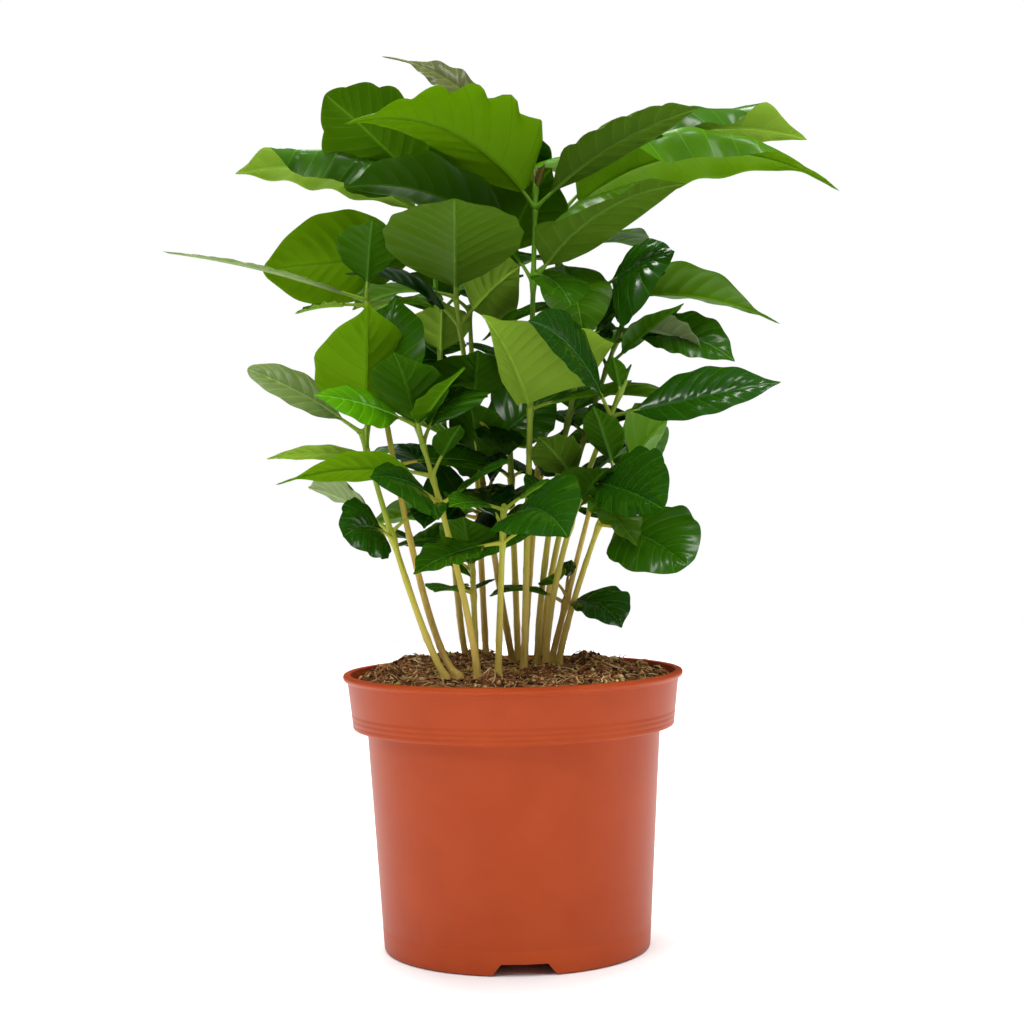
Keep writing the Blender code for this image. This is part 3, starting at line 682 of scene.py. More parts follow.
class Blade:
    """A veined leaf: its rows run from base to tip, its columns from margin to margin. A
    column holds, for every row, the place along the midrib, the way out and the height."""

    def __init__(self, start, leaf, chance):
        self.start, self.leaf, self.style = start, leaf, leaf["look"]
        self.petiole = self.style["petiole"]
        self.length = (PETIOLE + leaf["length"]) * self.style["stretch"] - self.petiole
        if self.style["tone"] == "bud":
            self.petiole, self.length = BUD_PETIOLE, BUD_LENGTH
        self.half = leaf["width"] / 2
        self.size = min(1.0, self.half / FULL_HALF_WIDTH)
        veins = next(count for longer, count in VEIN_COUNTS if self.length > longer)
        self.rows = vein_rows(veins, VEIN / self.length, chance)
        self.along = np.array([row[0] for row in self.rows])
        self.bulge = np.array([row[1] for row in self.rows])
        self.wave = self.style["wave"] or self.size * chance.uniform(*WAVES)
        self.lobes = self.style["lobes"] or chance.uniform(*LOBES)
        self.phases = [chance.uniform(0, 6.28) for _ in range(2)]
        self.twist = math.radians(chance.uniform(-TWIST, TWIST))
        left, right = (self.half_blade(side, chance) for side in (-1, 1))
        midrib = (self.along, self.along * 0, -0.25 * (1 - self.along))
        self.columns = left[::-1] + [midrib] + right
        self.middle = len(left)

    def half_blade(self, side, chance):
        """The columns from the midrib to the margin on one side."""
        along, style = self.along, self.style
        phase = self.phases[side > 0]
        cells = np.cumsum([begins for _, _, begins in self.rows])
        swell = np.array([chance.uniform(*SWELLS) for _ in range(cells[-1] + 1)])[cells]
        left = 1.0 - along + 1e-6
        slant = VEIN_SLOPE * outline(along, style) * self.half / self.length
        ahead = np.minimum(along + left * np.tanh(slant / left), 1.0)
        turn = 2 * math.pi * self.lobes * ahead + phase
        columns = []
        for across in ACROSS:
            place = along + (ahead - along) * across**VEIN_EASE
            width, ripple = self.rippled(across, ahead, turn, style["girths"][side > 0])
            rib = np.minimum(MIDRIB * (1 - MIDRIB_TAPER * along), width * 0.5)
            lateral = rib + (width - rib) * across
            domed = max(0.0, math.sin(math.pi * min(1, across + 0.12))) ** 0.8
            height = (lateral * TROUGH - FLATTENING * lateral * across
                      + QUILT * self.size * self.bulge * swell * domed * outline(along, style)
                      + PUCKER * self.size * across * (1 - across) * np.sin(
                          2 * math.pi * (PUCKERS_ALONG * along + PUCKERS_ACROSS * across)
                          + 3 * phase)
                      + self.wave * across**2.2 * outline(ahead, style) * ripple
                      - MARGIN_DROP * self.size * across**3
                      * np.minimum(1.0, width / MARGIN_DROP_WIDTH))
            columns.append([place, lateral, height])
        bend_under(columns, style["curl"][side > 0], along)
        return [(place, side * lateral, height) for place, lateral, height in columns]

    def rippled(self, across, ahead, turn, girth):
        """The half width with its lobes or waves, and the ripple that lifts the margin."""
        width = outline(ahead, self.style) * self.half * girth
        notch = self.style["notch"]
        if notch:
            ripple = 2 * np.abs(np.cos(turn / 2)) ** 0.8 - 1
            return width * (1 + notch * across**2 * (ripple - 1) / 2), ripple
        return width * (1 + WAVE_WIDTH * self.wave * np.sin(turn)), np.sin(turn + WAVE_LAG)

    def placed(self, place, lateral, height):
        """The points in space of a column, on the bent and twisted midrib."""
        total = self.petiole + self.length
        share = (self.petiole + place * self.length) / total
        roll = math.radians(self.leaf["roll"] + self.style["look_roll"])
        centre, across, up = along_midrib(self.start, self.leaf, total, share,
                                          roll + self.twist * (place - 0.4))
        return centre + across * lateral[:, None] + up * height[:, None]

    def thickness(self, from_middle):
        """How thick the blade is in a column: most at the rib, least between the veins."""
        depths = {0: RIB_DEPTH * (1 - 0.7 * self.along), 1: RIB_SIDE_DEPTH * (1 - self.along)}
        thick = THICKNESS + depths.get(from_middle, -BULGE_THINNING * self.bulge)
        return np.minimum(thick, 0.2 + 0.6 * outline(self.along, self.style) * self.half)

    def sheets(self):
        """The columns' points on the top, and below them along the section's normal."""
        top = []
        under = []
        last = len(self.columns) - 1
        for number, (place, lateral, height) in enumerate(self.columns):
            before = self.columns[max(number - 1, 0)]
            after = self.columns[min(number + 1, last)]
            level, climb = after[1] - before[1], after[2] - before[2]
            slant = np.hypot(level, climb)
            narrow = slant < NARROW
            level = np.where(narrow, 1.0, level)
            climb = np.where(narrow, 0.0, climb)
            slant = np.where(narrow, 1.0, slant)
            thick = self.thickness(abs(number - self.middle))
            top.append(self.placed(place, lateral, height))
            under.append(self.placed(place, lateral + thick * climb / slant,
                                     height - thick * level / slant))
        return top, under

    def mesh(self):
        """The closed blade: its points, and its faces, each with its material's number in
        the tone. The two sheets meet at the margins and at the tip."""
        top, under = self.sheets()
        tip_row = len(self.rows) - 1
        last = len(self.columns) - 1
        vertices = []
        upper = {}
        lower = {}
        for row in range(tip_row):
            for column in range(last + 1):
                upper[row, column] = lower[row, column] = len(vertices)
                vertices.append(top[column][row])
                if 0 < column < last:
                    lower[row, column] = len(vertices)
                    vertices.append(under[column][row])
        for column in range(last + 1):
            upper[tip_row, column] = lower[tip_row, column] = len(vertices)
        vertices.append(top[0][tip_row])
        faces = []
        for row in range(tip_row):
            for column in range(last):
                rib = column in (self.middle - 1, self.middle)
                kind = 2 if rib else 1 if self.rows[row][2] else 0
                a, b, c, d = ((row, column), (row, column + 1), (row + 1, column + 1),
                              (row + 1, column))
                for sheet, corners, first in ((upper, (a, b, c, d), 0),
                                              (lower, (a, d, c, b), PER_SIDE)):
                    ring = list(dict.fromkeys(sheet[corner] for corner in corners))
                    faces.append((ring, first + kind))
        return vertices, faces


def mesh_from(name, vertices, faces, materials, kinds=None, crease=None):
    """A smooth mesh, with sharp edges where its faces meet at more than the crease."""
    mesh = bpy.data.meshes.new(name)
    mesh.from_pydata([tuple(float(v) * MM for v in p) for p in vertices], [], faces)
    for material in materials:
        mesh.materials.append(material)
    if kinds:
        mesh.polygons.foreach_set("material_index", kinds)
    mesh.polygons.foreach_set("use_smooth", [True] * len(faces))
    mesh.update()
    if crease:
        mesh.set_sharp_from_angle(angle=math.radians(crease))
    return linked(name, mesh)


def build_leaves(name, leaves, palette, chance):
    vertices = []
    faces = []
    kinds = []
    tones = list(palette)
    materials = [material for tone in tones for material in palette[tone]]
    for start, leaf in leaves:
        points, rings = Blade(start, leaf, chance).mesh()
        base = len(vertices)
        first = tones.index(leaf["look"]["tone"]) * 2 * PER_SIDE
        vertices.extend(points)
        for ring, kind in rings:
            faces.append([index + base for index in ring])
            kinds.append(first + kind)
    return mesh_from("leaves_" + name, vertices, faces, materials, kinds, MARGIN_CREASE)


# ---------------------------------------------------------------- fine stems

STEM_SIDES = 14
# The fine stem's radius against the solid's
SLENDER = 0.92
STEM_STEP = 1.6
NODE_SWELL = 0.38
NODE_LENGTH = 2.2
NODE_BELOW = 0.6
SCAR_SWELL = 0.16
SCAR_LENGTH = 0.9
FIRST_SCAR = (10, 18)
SCAR_STEP = (14, 24)
SCARS_BELOW_LEAVES = 12
BARK_RELIEF = 0.05
PETIOLE_SIDES = 8
PETIOLE_LAP = 3.0
PETIOLE_SINK = 0.25
FULL_PETIOLE_WIDTH = 24
# The petiole's radii from stem to blade: the least, and what a full-sized leaf adds
PETIOLE_RADII = ((0.85, 0.35), (0.62, 0.2), (0.55, 0.15), (0.5, 0.14), (0.48, 0.14),
                 (0.42, 0.12), (0.25, 0.0))


def tube(centres, radii, sides, vertices, faces):
    """Adds a closed tube through centres; radii is one list of side radii per centre."""
    base = len(vertices)
    centres = [Vector(c) for c in centres]
    last = len(centres) - 1
    side = None
    for i, centre in enumerate(centres):
        ahead = (centres[min(i + 1, last)] - centres[max(i - 1, 0)]).normalized()
        if side is None:
            side = ahead.orthogonal().normalized()
        side = (side - ahead * side.dot(ahead)).normalized()
        other = ahead.cross(side)
        for k in range(sides):
            turn = 2 * math.pi * k / sides
            vertices.append(centre + (side * math.cos(turn) + other * math.sin(turn))
                            * radii[i][k % len(radii[i])])
    for i in range(last):
        for k in range(sides):
            a = base + i * sides + k
            b = base + i * sides + (k + 1) % sides
            faces.append([a, b, b + sides, a + sides])
    ahead = (centres[-1] - centres[-2]).normalized()
    top = len(vertices)
    vertices.append(centres[-1] + ahead * radii[-1][0] * 0.6)
    end = base + last * sides
    faces.extend([end + k, end + (k + 1) % sides, top] for k in range(sides))
    faces.append([base + k for k in range(sides)][::-1])


def add_stalk(seedling, vertices, faces, chance):
    """The stem: swollen at its nodes, with faint scars of old leaves below them."""
    nodes = [height for height, _, _ in seedling["pairs"]]
    top = seedling["top"][2]
    scars = []
    scar = GROUND + chance.uniform(*FIRST_SCAR)
    while scar < nodes[0] - SCARS_BELOW_LEAVES:
        scars.append(scar)
        scar += chance.uniform(*SCAR_STEP)
    heights = [GROUND + 0.2 * i for i in range(3)] + even_heights(
        GROUND + UPRIGHT, top, int((top - GROUND) / STEM_STEP))
    grooves = [chance.uniform(0, 6.28) for _ in range(3)]
    radii = []
    for height in heights:
        radius = stem_radius(seedling, height) * SLENDER
        for node in nodes:
            radius += NODE_SWELL * math.exp(-((height - node + NODE_BELOW) / NODE_LENGTH) ** 2)
        for scar in scars:
            radius += SCAR_SWELL * math.exp(-((height - scar) / SCAR_LENGTH) ** 2)
        ring = []
        for k in range(STEM_SIDES):
            turn = 2 * math.pi * k / STEM_SIDES
            rib = (math.sin(3 * turn + grooves[0] + height * 0.05)
                   + 0.6 * math.sin(5 * turn + grooves[1] - height * 0.11)
                   + 0.5 * math.sin(2 * turn + grooves[2] + height * 0.31))
            ring.append(radius + BARK_RELIEF * rib)
        radii.append(ring)
    tube([stem_point(seedling, h) for h in heights], radii, STEM_SIDES, vertices, faces)


def add_petiole(start, leaf, vertices, faces):
    total = PETIOLE + leaf["length"]
    reach = (leaf["look"]["petiole"] + min(PETIOLE_LAP, leaf["length"] * 0.15)) / total
    steps = np.linspace(0.0, 1.0, len(PETIOLE_RADII))
    centres, _, up = along_midrib(start, leaf, total, reach * steps,
                                  math.radians(leaf["roll"]))
    centres = centres - PETIOLE_SINK * steps[:, None] * up[-1]
    size = min(1.0, leaf["width"] / FULL_PETIOLE_WIDTH)
    radii = [[least + more * size] for least, more in PETIOLE_RADII]
    tube(centres, radii, PETIOLE_SIDES, vertices, faces)


def build_stem(name, seedling, leaves, material, chance):
    """One mesh: the whole stem and the petioles of its leaves."""
    vertices = []
    faces = []
    add_stalk(seedling, vertices, faces, chance)
    for start, leaf in leaves:
        if leaf["look"]["tone"] != "bud":
            add_petiole(start, leaf, vertices, faces)
    return mesh_from("stalk_" + name, vertices, faces, [material])


# ---------------------------------------------------------------- uneven materials

# How much higher than usual the tan of each kind of bark reaches, and the seedlings whose
# bark isn't of the usual kind
BARKS = {"young_bark": 0.0, "tan_bark": 30.0, "green_bark": -14.0}
BARK_OF = {"02": "tan_bark", "04": "tan_bark", "10": "tan_bark", "13": "tan_bark",
           "15": "tan_bark", "05": "green_bark", "07": "green_bark", "16": "green_bark"}
GREEN_HEIGHT = 250
BARK_SPREAD = 0.25
# Colours by their place on a ramp: bark from the foot up, the pot by chance, and the soil by the
# height of its bump. The soil's darkest stop falls in the hollows as painted shade; the rest is
# the peat's own mottling.
BARK_COLORS = ((0.08, (0.44, 0.28, 0.06)), (0.2, (0.62, 0.44, 0.09)),
               (0.42, (0.52, 0.46, 0.05)), (0.62, (0.30, 0.40, 0.03)),
               (1.0, (0.13, 0.30, 0.01)))
POT_COLORS = ((0.35, (0.372, 0.049, 0.007)), (0.68, (0.402, 0.056, 0.009)))
SOIL_AND_SHADE_COLORS = ((0.34, (0.030, 0.012, 0.005)), (0.52, (0.17, 0.066, 0.023)),
               (0.72, (0.50, 0.27, 0.11)))


def place_on(material):
    return material.node_tree.nodes.new("ShaderNodeTexCoord").outputs["Object"]


def noise(material, scale, detail, roughness=0.5, stretch=None):
    """A noise over the object's own coordinates, stretched where that is given."""
    tree = material.node_tree
    place = place_on(material)
    if stretch:
        mapping = tree.nodes.new("ShaderNodeMapping")
        mapping.inputs["Scale"].default_value = stretch
        tree.links.new(place, mapping.inputs["Vector"])
        place = mapping.outputs["Vector"]
    texture = tree.nodes.new("ShaderNodeTexNoise")
    texture.inputs["Scale"].default_value = scale
    texture.inputs["Detail"].default_value = detail
    texture.inputs["Roughness"].default_value = roughness
    tree.links.new(place, texture.inputs["Vector"])
    return texture.outputs["Fac"]


def color_by(material, value, stops):
    """Colours the material by a value, through a ramp of (position, colour) stops."""
    tree = material.node_tree
    ramp = tree.nodes.new("ShaderNodeValToRGB")
    elements = ramp.color_ramp.elements
    elements[0].position, elements[1].position = stops[0][0], stops[-1][0]
    for position, _ in stops[1:-1]:
        elements.new(position)
    for element, (_, color) in zip(elements, stops):
        element.color = (*color, 1)
    tree.links.new(value, ramp.inputs["Fac"])
    shader = tree.nodes["Principled BSDF"]
    tree.links.new(ramp.outputs["Color"], shader.inputs["Base Color"])


def roughen(material, value, strength, distance):
    tree = material.node_tree
    bump = tree.nodes.new("ShaderNodeBump")
    bump.inputs["Strength"].default_value = strength
    bump.inputs["Distance"].default_value = distance
    tree.links.new(value, bump.inputs["Height"])
    shader = tree.nodes["Principled BSDF"]
    tree.links.new(bump.outputs["Normal"], shader.inputs["Normal"])


def stem_material(name, ripe):
    """Tan at the foot, through yellow-green to green, with fine streaks and specks."""
    material = principled(name, (0.3, 0.32, 0.06), 0.42, 0.3)
    nodes, links = material.node_tree.nodes, material.node_tree.links
    split = nodes.new("ShaderNodeSeparateXYZ")
    links.new(place_on(material), split.inputs[0])
    span = nodes.new("ShaderNodeMapRange")
    span.inputs["From Min"].default_value = (GROUND + ripe) * MM
    span.inputs["From Max"].default_value = (GREEN_HEIGHT + ripe) * MM
    links.new(split.outputs["Z"], span.inputs["Value"])
    streaks = noise(material, 1400.0, 4.0, stretch=(1.0, 1.0, 0.12))
    shift = nodes.new("ShaderNodeMath")
    shift.operation = "MULTIPLY_ADD"
    shift.inputs[1].default_value = BARK_SPREAD
    links.new(streaks, shift.inputs[0])
    links.new(span.outputs["Result"], shift.inputs[2])
    color_by(material, shift.outputs[0], BARK_COLORS)
    roughen(material, streaks, 0.25, 0.0002)
    return material


def pot_material():
    """Satin moulded plastic with a faint grain and slightly uneven colour."""
    material = principled("terracotta_plastic", (0.385, 0.052, 0.008), 0.42, 0.17)
    color_by(material, noise(material, 60.0, 5.0), POT_COLORS)
    roughen(material, noise(material, 1500.0, 3.0), 0.12, 0.0002)
    return material


def soil_material():
    material = principled("peat", (0.09, 0.05, 0.025), 0.92, 0.2)
    clods = noise(material, 420.0, 8.0, 0.7)
    # The noise that raises the bump also sets the colour, so the hollows between clods are
    # darker: painted shade in the hollows, over the peat's own mottled colour
    color_by(material, clods, SOIL_AND_SHADE_COLORS)
    roughen(material, clods, 0.8, 0.0008)
    return material


# ---------------------------------------------------------------- pot

FULL_TURN = 2 * math.pi
POT_STEPS = 144
# The grooves round the collar and the mould line round the foot: heights, half width, depth
COLLAR_LINES = (83.2, 81.4, 79.6)
COLLAR_LINE = (0.35, 0.10)
MOULD_LINE_HEIGHT = 8.3
MOULD_LINE = (0.4, 0.12)
FLOOR_THICKNESS = 1.5
NOTCH_DEPTH = 12.0
BELOW_FOOT = 1.0
DRAIN_DEPTH = 8.0
DRAIN_FIRST_ANGLE = 45.0
DRAIN_SIDES = 32
CORNER_STEPS = 4
POT_CREASE = 38


def on_circle(radius, turn):
    return radius * math.cos(turn), radius * math.sin(turn)


def turned(name, profile, steps, material):
    """A profile of (radius, height) points, turned round the Z axis into a smooth mesh."""
    count = len(profile)
    vertices = [(*on_circle(max(radius, 0.001), FULL_TURN * i / steps), height)
                for i in range(steps) for radius, height in profile]
    faces = []
    for i in range(steps):
        j = (i + 1) % steps
        for k in range(count - 1):
            faces.append([i * count + k, i * count + k + 1, j * count + k + 1, j * count + k])
    obj = mesh_from(name, vertices, faces, [material])
    work = bmesh.new()
    work.from_mesh(obj.data)
    bmesh.ops.remove_doubles(work, verts=work.verts, dist=0.02 * MM)
    bmesh.ops.recalc_face_normals(work, faces=work.faces)
    work.to_mesh(obj.data)
    work.free()
    return obj


def rounded(corners):
    """A profile from (radius, height, how far its corner is rounded by a short arc)."""
    points = [Vector(corner[:2]) for corner in corners]
    out = []
    for i, point in enumerate(points):
        if not corners[i][2]:
            out.append(tuple(corners[i][:2]))
            continue
        before, after = points[i - 1] - point, points[i + 1] - point
        cut = min(corners[i][2], before.length * 0.45, after.length * 0.45)
        a = point + before.normalized() * cut
        b = point + after.normalized() * cut
        for k in range(CORNER_STEPS + 1):
            t = k / CORNER_STEPS
            out.append(tuple(a * (1 - t) ** 2 + point * 2 * t * (1 - t) + b * t**2))
    return out


def groove(radius, height, half_width, depth):
    return [(radius, height + half_width, 0), (radius - depth, height, 0),
            (radius, height - half_width, 0)]


def fine_pot_profile():
    """The pot's section from the middle of its floor, over the lip, to its underside."""
    inner_foot = BODY_FOOT_RADIUS - WALL
    lip_foot = RIM_HEIGHT - LIP_DROP
    collar_slope = (COLLAR_TOP_RADIUS - COLLAR_FOOT_RADIUS) / (lip_foot - COLLAR_FOOT_HEIGHT)
    body_slope = (BODY_TOP_RADIUS - BODY_FOOT_RADIUS) / COLLAR_FOOT_HEIGHT
    floor = FLOOR_HEIGHT + FLOOR_THICKNESS
    step = COLLAR_FOOT_HEIGHT + WALL
    corners = [(0.0, floor, 0), (inner_foot, floor, 0), (BODY_TOP_RADIUS - WALL, step, 0),
               (COLLAR_FOOT_RADIUS - WALL, step, 1.0),
               (COLLAR_TOP_RADIUS - WALL, RIM_HEIGHT, 0.5),
               (LIP_RADIUS - 0.3, RIM_HEIGHT, 0.8), (LIP_RADIUS, lip_foot + 1.0, 0.8),
               (LIP_RADIUS - 0.5, lip_foot, 0.4), (COLLAR_TOP_RADIUS, lip_foot - 0.3, 0.5)]
    for line in COLLAR_LINES:
        radius = COLLAR_FOOT_RADIUS + collar_slope * (line - COLLAR_FOOT_HEIGHT)
        corners += groove(radius, line, *COLLAR_LINE)
    corners += [(COLLAR_FOOT_RADIUS, COLLAR_FOOT_HEIGHT, 0.9),
                (BODY_TOP_RADIUS, COLLAR_FOOT_HEIGHT + 0.2, 1.6)]
    radius = BODY_FOOT_RADIUS + body_slope * MOULD_LINE_HEIGHT
    corners += groove(radius, MOULD_LINE_HEIGHT, *MOULD_LINE)
    corners += [(BODY_FOOT_RADIUS, 0.0, 1.6), (inner_foot - 0.6, 0.0, 0),
                (inner_foot - 0.6, FLOOR_HEIGHT, 0), (0.0, FLOOR_HEIGHT, 0)]
    return rounded(corners)


def prism(name, corners, depth):
    """A flat outline of (across, height) points, centred and given a depth."""
    work = bmesh.new()
    low = [work.verts.new((x * MM, -depth / 2 * MM, z * MM)) for x, z in corners]
    face = work.faces.new(low)
    made = bmesh.ops.extrude_face_region(work, geom=[face])
    moved = [item for item in made["geom"] if isinstance(item, bmesh.types.BMVert)]
    bmesh.ops.translate(work, verts=moved, vec=(0, depth * MM, 0))
    bmesh.ops.recalc_face_normals(work, faces=work.faces)
    mesh = bpy.data.meshes.new(name)
    work.to_mesh(mesh)
    work.free()
    return linked(name, mesh)


def subtract(obj, cutter):
    modifier = obj.modifiers.new("cut", "BOOLEAN")
    modifier.operation = "DIFFERENCE"
    modifier.object = cutter
    modifier.solver = "EXACT"
    mesh = evaluated_mesh(obj)
    obj.modifiers.clear()
    obj.data = mesh
    bpy.data.objects.remove(cutter, do_unlink=True)


def build_pot():
    pot = turned("pot_shell", fine_pot_profile(), POT_STEPS, pot_material())
    flare = (NOTCH_FOOT_WIDTH - NOTCH_TOP_WIDTH) / 2 / NOTCH_HEIGHT * BELOW_FOOT
    foot = NOTCH_FOOT_WIDTH / 2 + flare
    top = NOTCH_TOP_WIDTH / 2
    corners = [(-foot, -BELOW_FOOT), (foot, -BELOW_FOOT), (top, NOTCH_HEIGHT),
               (-top, NOTCH_HEIGHT)]
    for index in range(NOTCH_COUNT):
        angle = math.radians(NOTCH_FIRST_ANGLE + index * 360.0 / NOTCH_COUNT)
        cutter = prism("notch", corners, NOTCH_DEPTH)
        cutter.matrix_world = (Matrix.Rotation(angle - math.pi / 2, 4, "Z")
                               @ Matrix.Translation((0, BODY_FOOT_RADIUS * MM, 0)))
        subtract(pot, cutter)
    hole = [on_circle(DRAIN_RADIUS, FULL_TURN * k / DRAIN_SIDES) for k in range(DRAIN_SIDES)]
    for index in range(DRAIN_COUNT):
        angle = math.radians(DRAIN_FIRST_ANGLE + index * 360.0 / DRAIN_COUNT)
        place = (*on_circle(DRAIN_RING_RADIUS, angle), FLOOR_HEIGHT)
        cutter = prism("drain", hole, DRAIN_DEPTH)
        cutter.matrix_world = (Matrix.Translation([value * MM for value in place])
                               @ Matrix.Rotation(math.pi / 2, 4, "X"))
        subtract(pot, cutter)
    pot.data.shade_smooth()
    pot.data.set_sharp_from_angle(angle=math.radians(POT_CREASE))
    return pot


# ---------------------------------------------------------------- soil

SOIL_WALL_GAP = 0.7
SOIL_STEP_GAP = 0.5
SOIL_DROP = 0.6
SOIL_SLOPE_FROM = 46
SOIL_SLOPE = 0.26
SOIL_RINGS = 62
SOIL_TURNS = 200
SOIL_ROUGHNESS = 0.28
SOIL_SEED = 11
LUMPS = 420
LUMP_SPREADS = (1.0, 3.6)
LUMP_HEIGHTS = (-1.5, 1.7)
# Heaps of peat: where (x, y), how wide and how high
MOUNDS = ((-44, -10, 8, 3.0), (-36, 24, 9, 4.2), (-22, 34, 8, 3.6), (-10, 40, 7, 2.6),
          (30, 34, 10, 2.8), (-7, -38, 2.6, 3.4), (44, 2, 8, 1.6))

# Litter: colours, then how many parts of the fibres and of the crumbs have each colour
LITTER = {
    "fibre_tan": ((0.58, 0.32, 0.12), 32, 22),
    "fibre_straw": ((0.80, 0.60, 0.30), 12, 5),
    "fibre_brown": ((0.25, 0.098, 0.032), 34, 34),
    "fibre_dark": ((0.045, 0.018, 0.009), 20, 34),
    "moss": ((0.42, 0.38, 0.07), 2, 5),
}
LITTER_WALL_GAP = 2.0
FIBRES = 2700
FIBRE_LENGTHS = (1.0, 5.0)
LONG_FIBRE_LENGTHS = (5, 9)
SHORT_FIBRE_SHARE = 0.85
FIBRE_RISES = (-0.15, 0.6)
FIBRE_CURLS = (-1.6, 1.6)
FIBRE_RADII = (0.08, 0.26)
FIBRE_TAPER = (1.0, 1.0, 0.8, 0.4)
FIBRE_SIDES = 4
FIBRE_LIFT = 0.2
CRUMBS = 1300
CRUMB_SIZES = (0.35, 1.15)
CRUMB_CORNERS = ((1, 0, 0), (0, 1, 0), (-1, 0, 0), (0, -1, 0), (0, 0, 1), (0, 0, -1))
CRUMB_UNEVENNESS = (0.55, 1.2)


def soil_height(x, y, lumps):
    """The lumpy top of the soil: level with the rim, lower at the wall."""
    radius = math.hypot(x, y)
    height = SOIL_HEIGHT - SOIL_DROP
    if radius > SOIL_SLOPE_FROM:
        height -= (radius - SOIL_SLOPE_FROM) * SOIL_SLOPE
    for cx, cy, spread, lift in lumps:
        distance = ((x - cx) ** 2 + (y - cy) ** 2) / spread**2
        if distance < 6:
            height += lift * math.exp(-distance)
    return height


def scattered(edge, chance):
    """A place on the soil, anywhere within the edge."""
    turn = chance.uniform(0, FULL_TURN)
    return on_circle(edge * math.sqrt(chance.random()), turn)


def soil_lumps(edge, chance):
    lumps = []
    for _ in range(LUMPS):
        x, y = scattered(edge, chance)
        lumps.append((x, y, chance.uniform(*LUMP_SPREADS), chance.uniform(*LUMP_HEIGHTS)))
    return lumps + list(MOUNDS)


def build_soil(chance):
    edge = COLLAR_TOP_RADIUS - WALL - SOIL_WALL_GAP
    lumps = soil_lumps(edge, chance)
    vertices = [(0.0, 0.0, soil_height(0, 0, lumps))]
    for i in range(1, SOIL_RINGS + 1):
        for k in range(SOIL_TURNS):
            x, y = on_circle(edge * i / SOIL_RINGS, FULL_TURN * k / SOIL_TURNS)
            rough = chance.uniform(-SOIL_ROUGHNESS, SOIL_ROUGHNESS)
            vertices.append((x, y, soil_height(x, y, lumps) + rough))
    step = COLLAR_FOOT_HEIGHT + WALL + SOIL_GAP
    inset = WALL + SOIL_STEP_GAP
    for radius, height in ((COLLAR_FOOT_RADIUS - inset, step), (BODY_TOP_RADIUS - inset, step),
                           (BODY_FOOT_RADIUS - inset, FLOOR_HEIGHT + FLOOR_THICKNESS + 0.3)):
        for k in range(SOIL_TURNS):
            vertices.append((*on_circle(radius, FULL_TURN * k / SOIL_TURNS), height))
    around = range(SOIL_TURNS)
    faces = [[0, 1 + k, 1 + (k + 1) % SOIL_TURNS] for k in around]
    bottom = len(vertices) - SOIL_TURNS
    for base in range(1, bottom, SOIL_TURNS):
        for k in around:
            a = base + k
            b = base + (k + 1) % SOIL_TURNS
            faces.append([a, a + SOIL_TURNS, b + SOIL_TURNS, b])
    faces.append([bottom + k for k in around][::-1])
    return mesh_from("soil_bed", vertices, faces, [soil_material()]), lumps


def add_fibre(edge, lumps, chance, vertices, faces):
    """A curled fibre that lies on the soil and lifts a little at one end."""
    x, y = scattered(edge, chance)
    lengths = FIBRE_LENGTHS if chance.random() < SHORT_FIBRE_SHARE else LONG_FIBRE_LENGTHS
    length = chance.uniform(*lengths)
    way = chance.uniform(0, FULL_TURN)
    rise = max(0.0, chance.uniform(*FIBRE_RISES))
    curl = chance.uniform(*FIBRE_CURLS)
    thick = chance.uniform(*FIBRE_RADII)
    centres = []
    for i in range(len(FIBRE_TAPER)):
        share = i / (len(FIBRE_TAPER) - 1)
        end_x = x + math.cos(way + curl * share) * length * share
        end_y = y + math.sin(way + curl * share) * length * share
        over = max(1.0, math.hypot(end_x, end_y) / edge)
        end_x, end_y = end_x / over, end_y / over
        lift = FIBRE_LIFT + rise * length * share * (1 - 0.5 * share)
        centres.append((end_x, end_y, soil_height(end_x, end_y, lumps) + lift))
    tube(centres, [[thick * taper] for taper in FIBRE_TAPER], FIBRE_SIDES, vertices, faces)


def add_crumb(edge, lumps, chance, vertices, faces):
    x, y = scattered(edge, chance)
    size = chance.uniform(*CRUMB_SIZES)
    centre = Vector((x, y, soil_height(x, y, lumps) + size * 0.35))
    base = len(vertices)
    for corner in CRUMB_CORNERS:
        vertices.append(centre + Vector(corner) * size * chance.uniform(*CRUMB_UNEVENNESS))
    for k in range(4):
        a = base + k
        b = base + (k + 1) % 4
        faces.append([a, b, base + 4])
        faces.append([b, a, base + 5])


def build_litter(lumps, chance):
    """Peat fibres, crumbs and flecks of moss lying on the soil."""
    colors, *shares = zip(*LITTER.values())
    materials = [principled(name, color, 0.85, 0.2) for name, color in zip(LITTER, colors)]
    vertices = []
    faces = []
    kinds = []
    edge = COLLAR_TOP_RADIUS - WALL - LITTER_WALL_GAP
    for add, count, parts in ((add_fibre, FIBRES, shares[0]), (add_crumb, CRUMBS, shares[1])):
        for _ in range(count):
            before = len(faces)
            add(edge, lumps, chance, vertices, faces)
            kind = chance.choices(range(len(parts)), parts)[0]
            kinds.extend([kind] * (len(faces) - before))
    return mesh_from("soil_litter", vertices, faces, materials, kinds)


# ---------------------------------------------------------------- stage

CAMERA_PLACE = (0.7, -695.0, 164.5)
CAMERA_PITCH = 0.95
CAMERA_ROLL = 1.0
LENS = 69.15
FLOOR_REACH = 1.3
FLOOR_DROP = 0.0002
WALL_LIGHT = 0.28
WALL_SHINE = 0.06
SKY_LIGHT = 2.1
SKY_SPREAD = 60
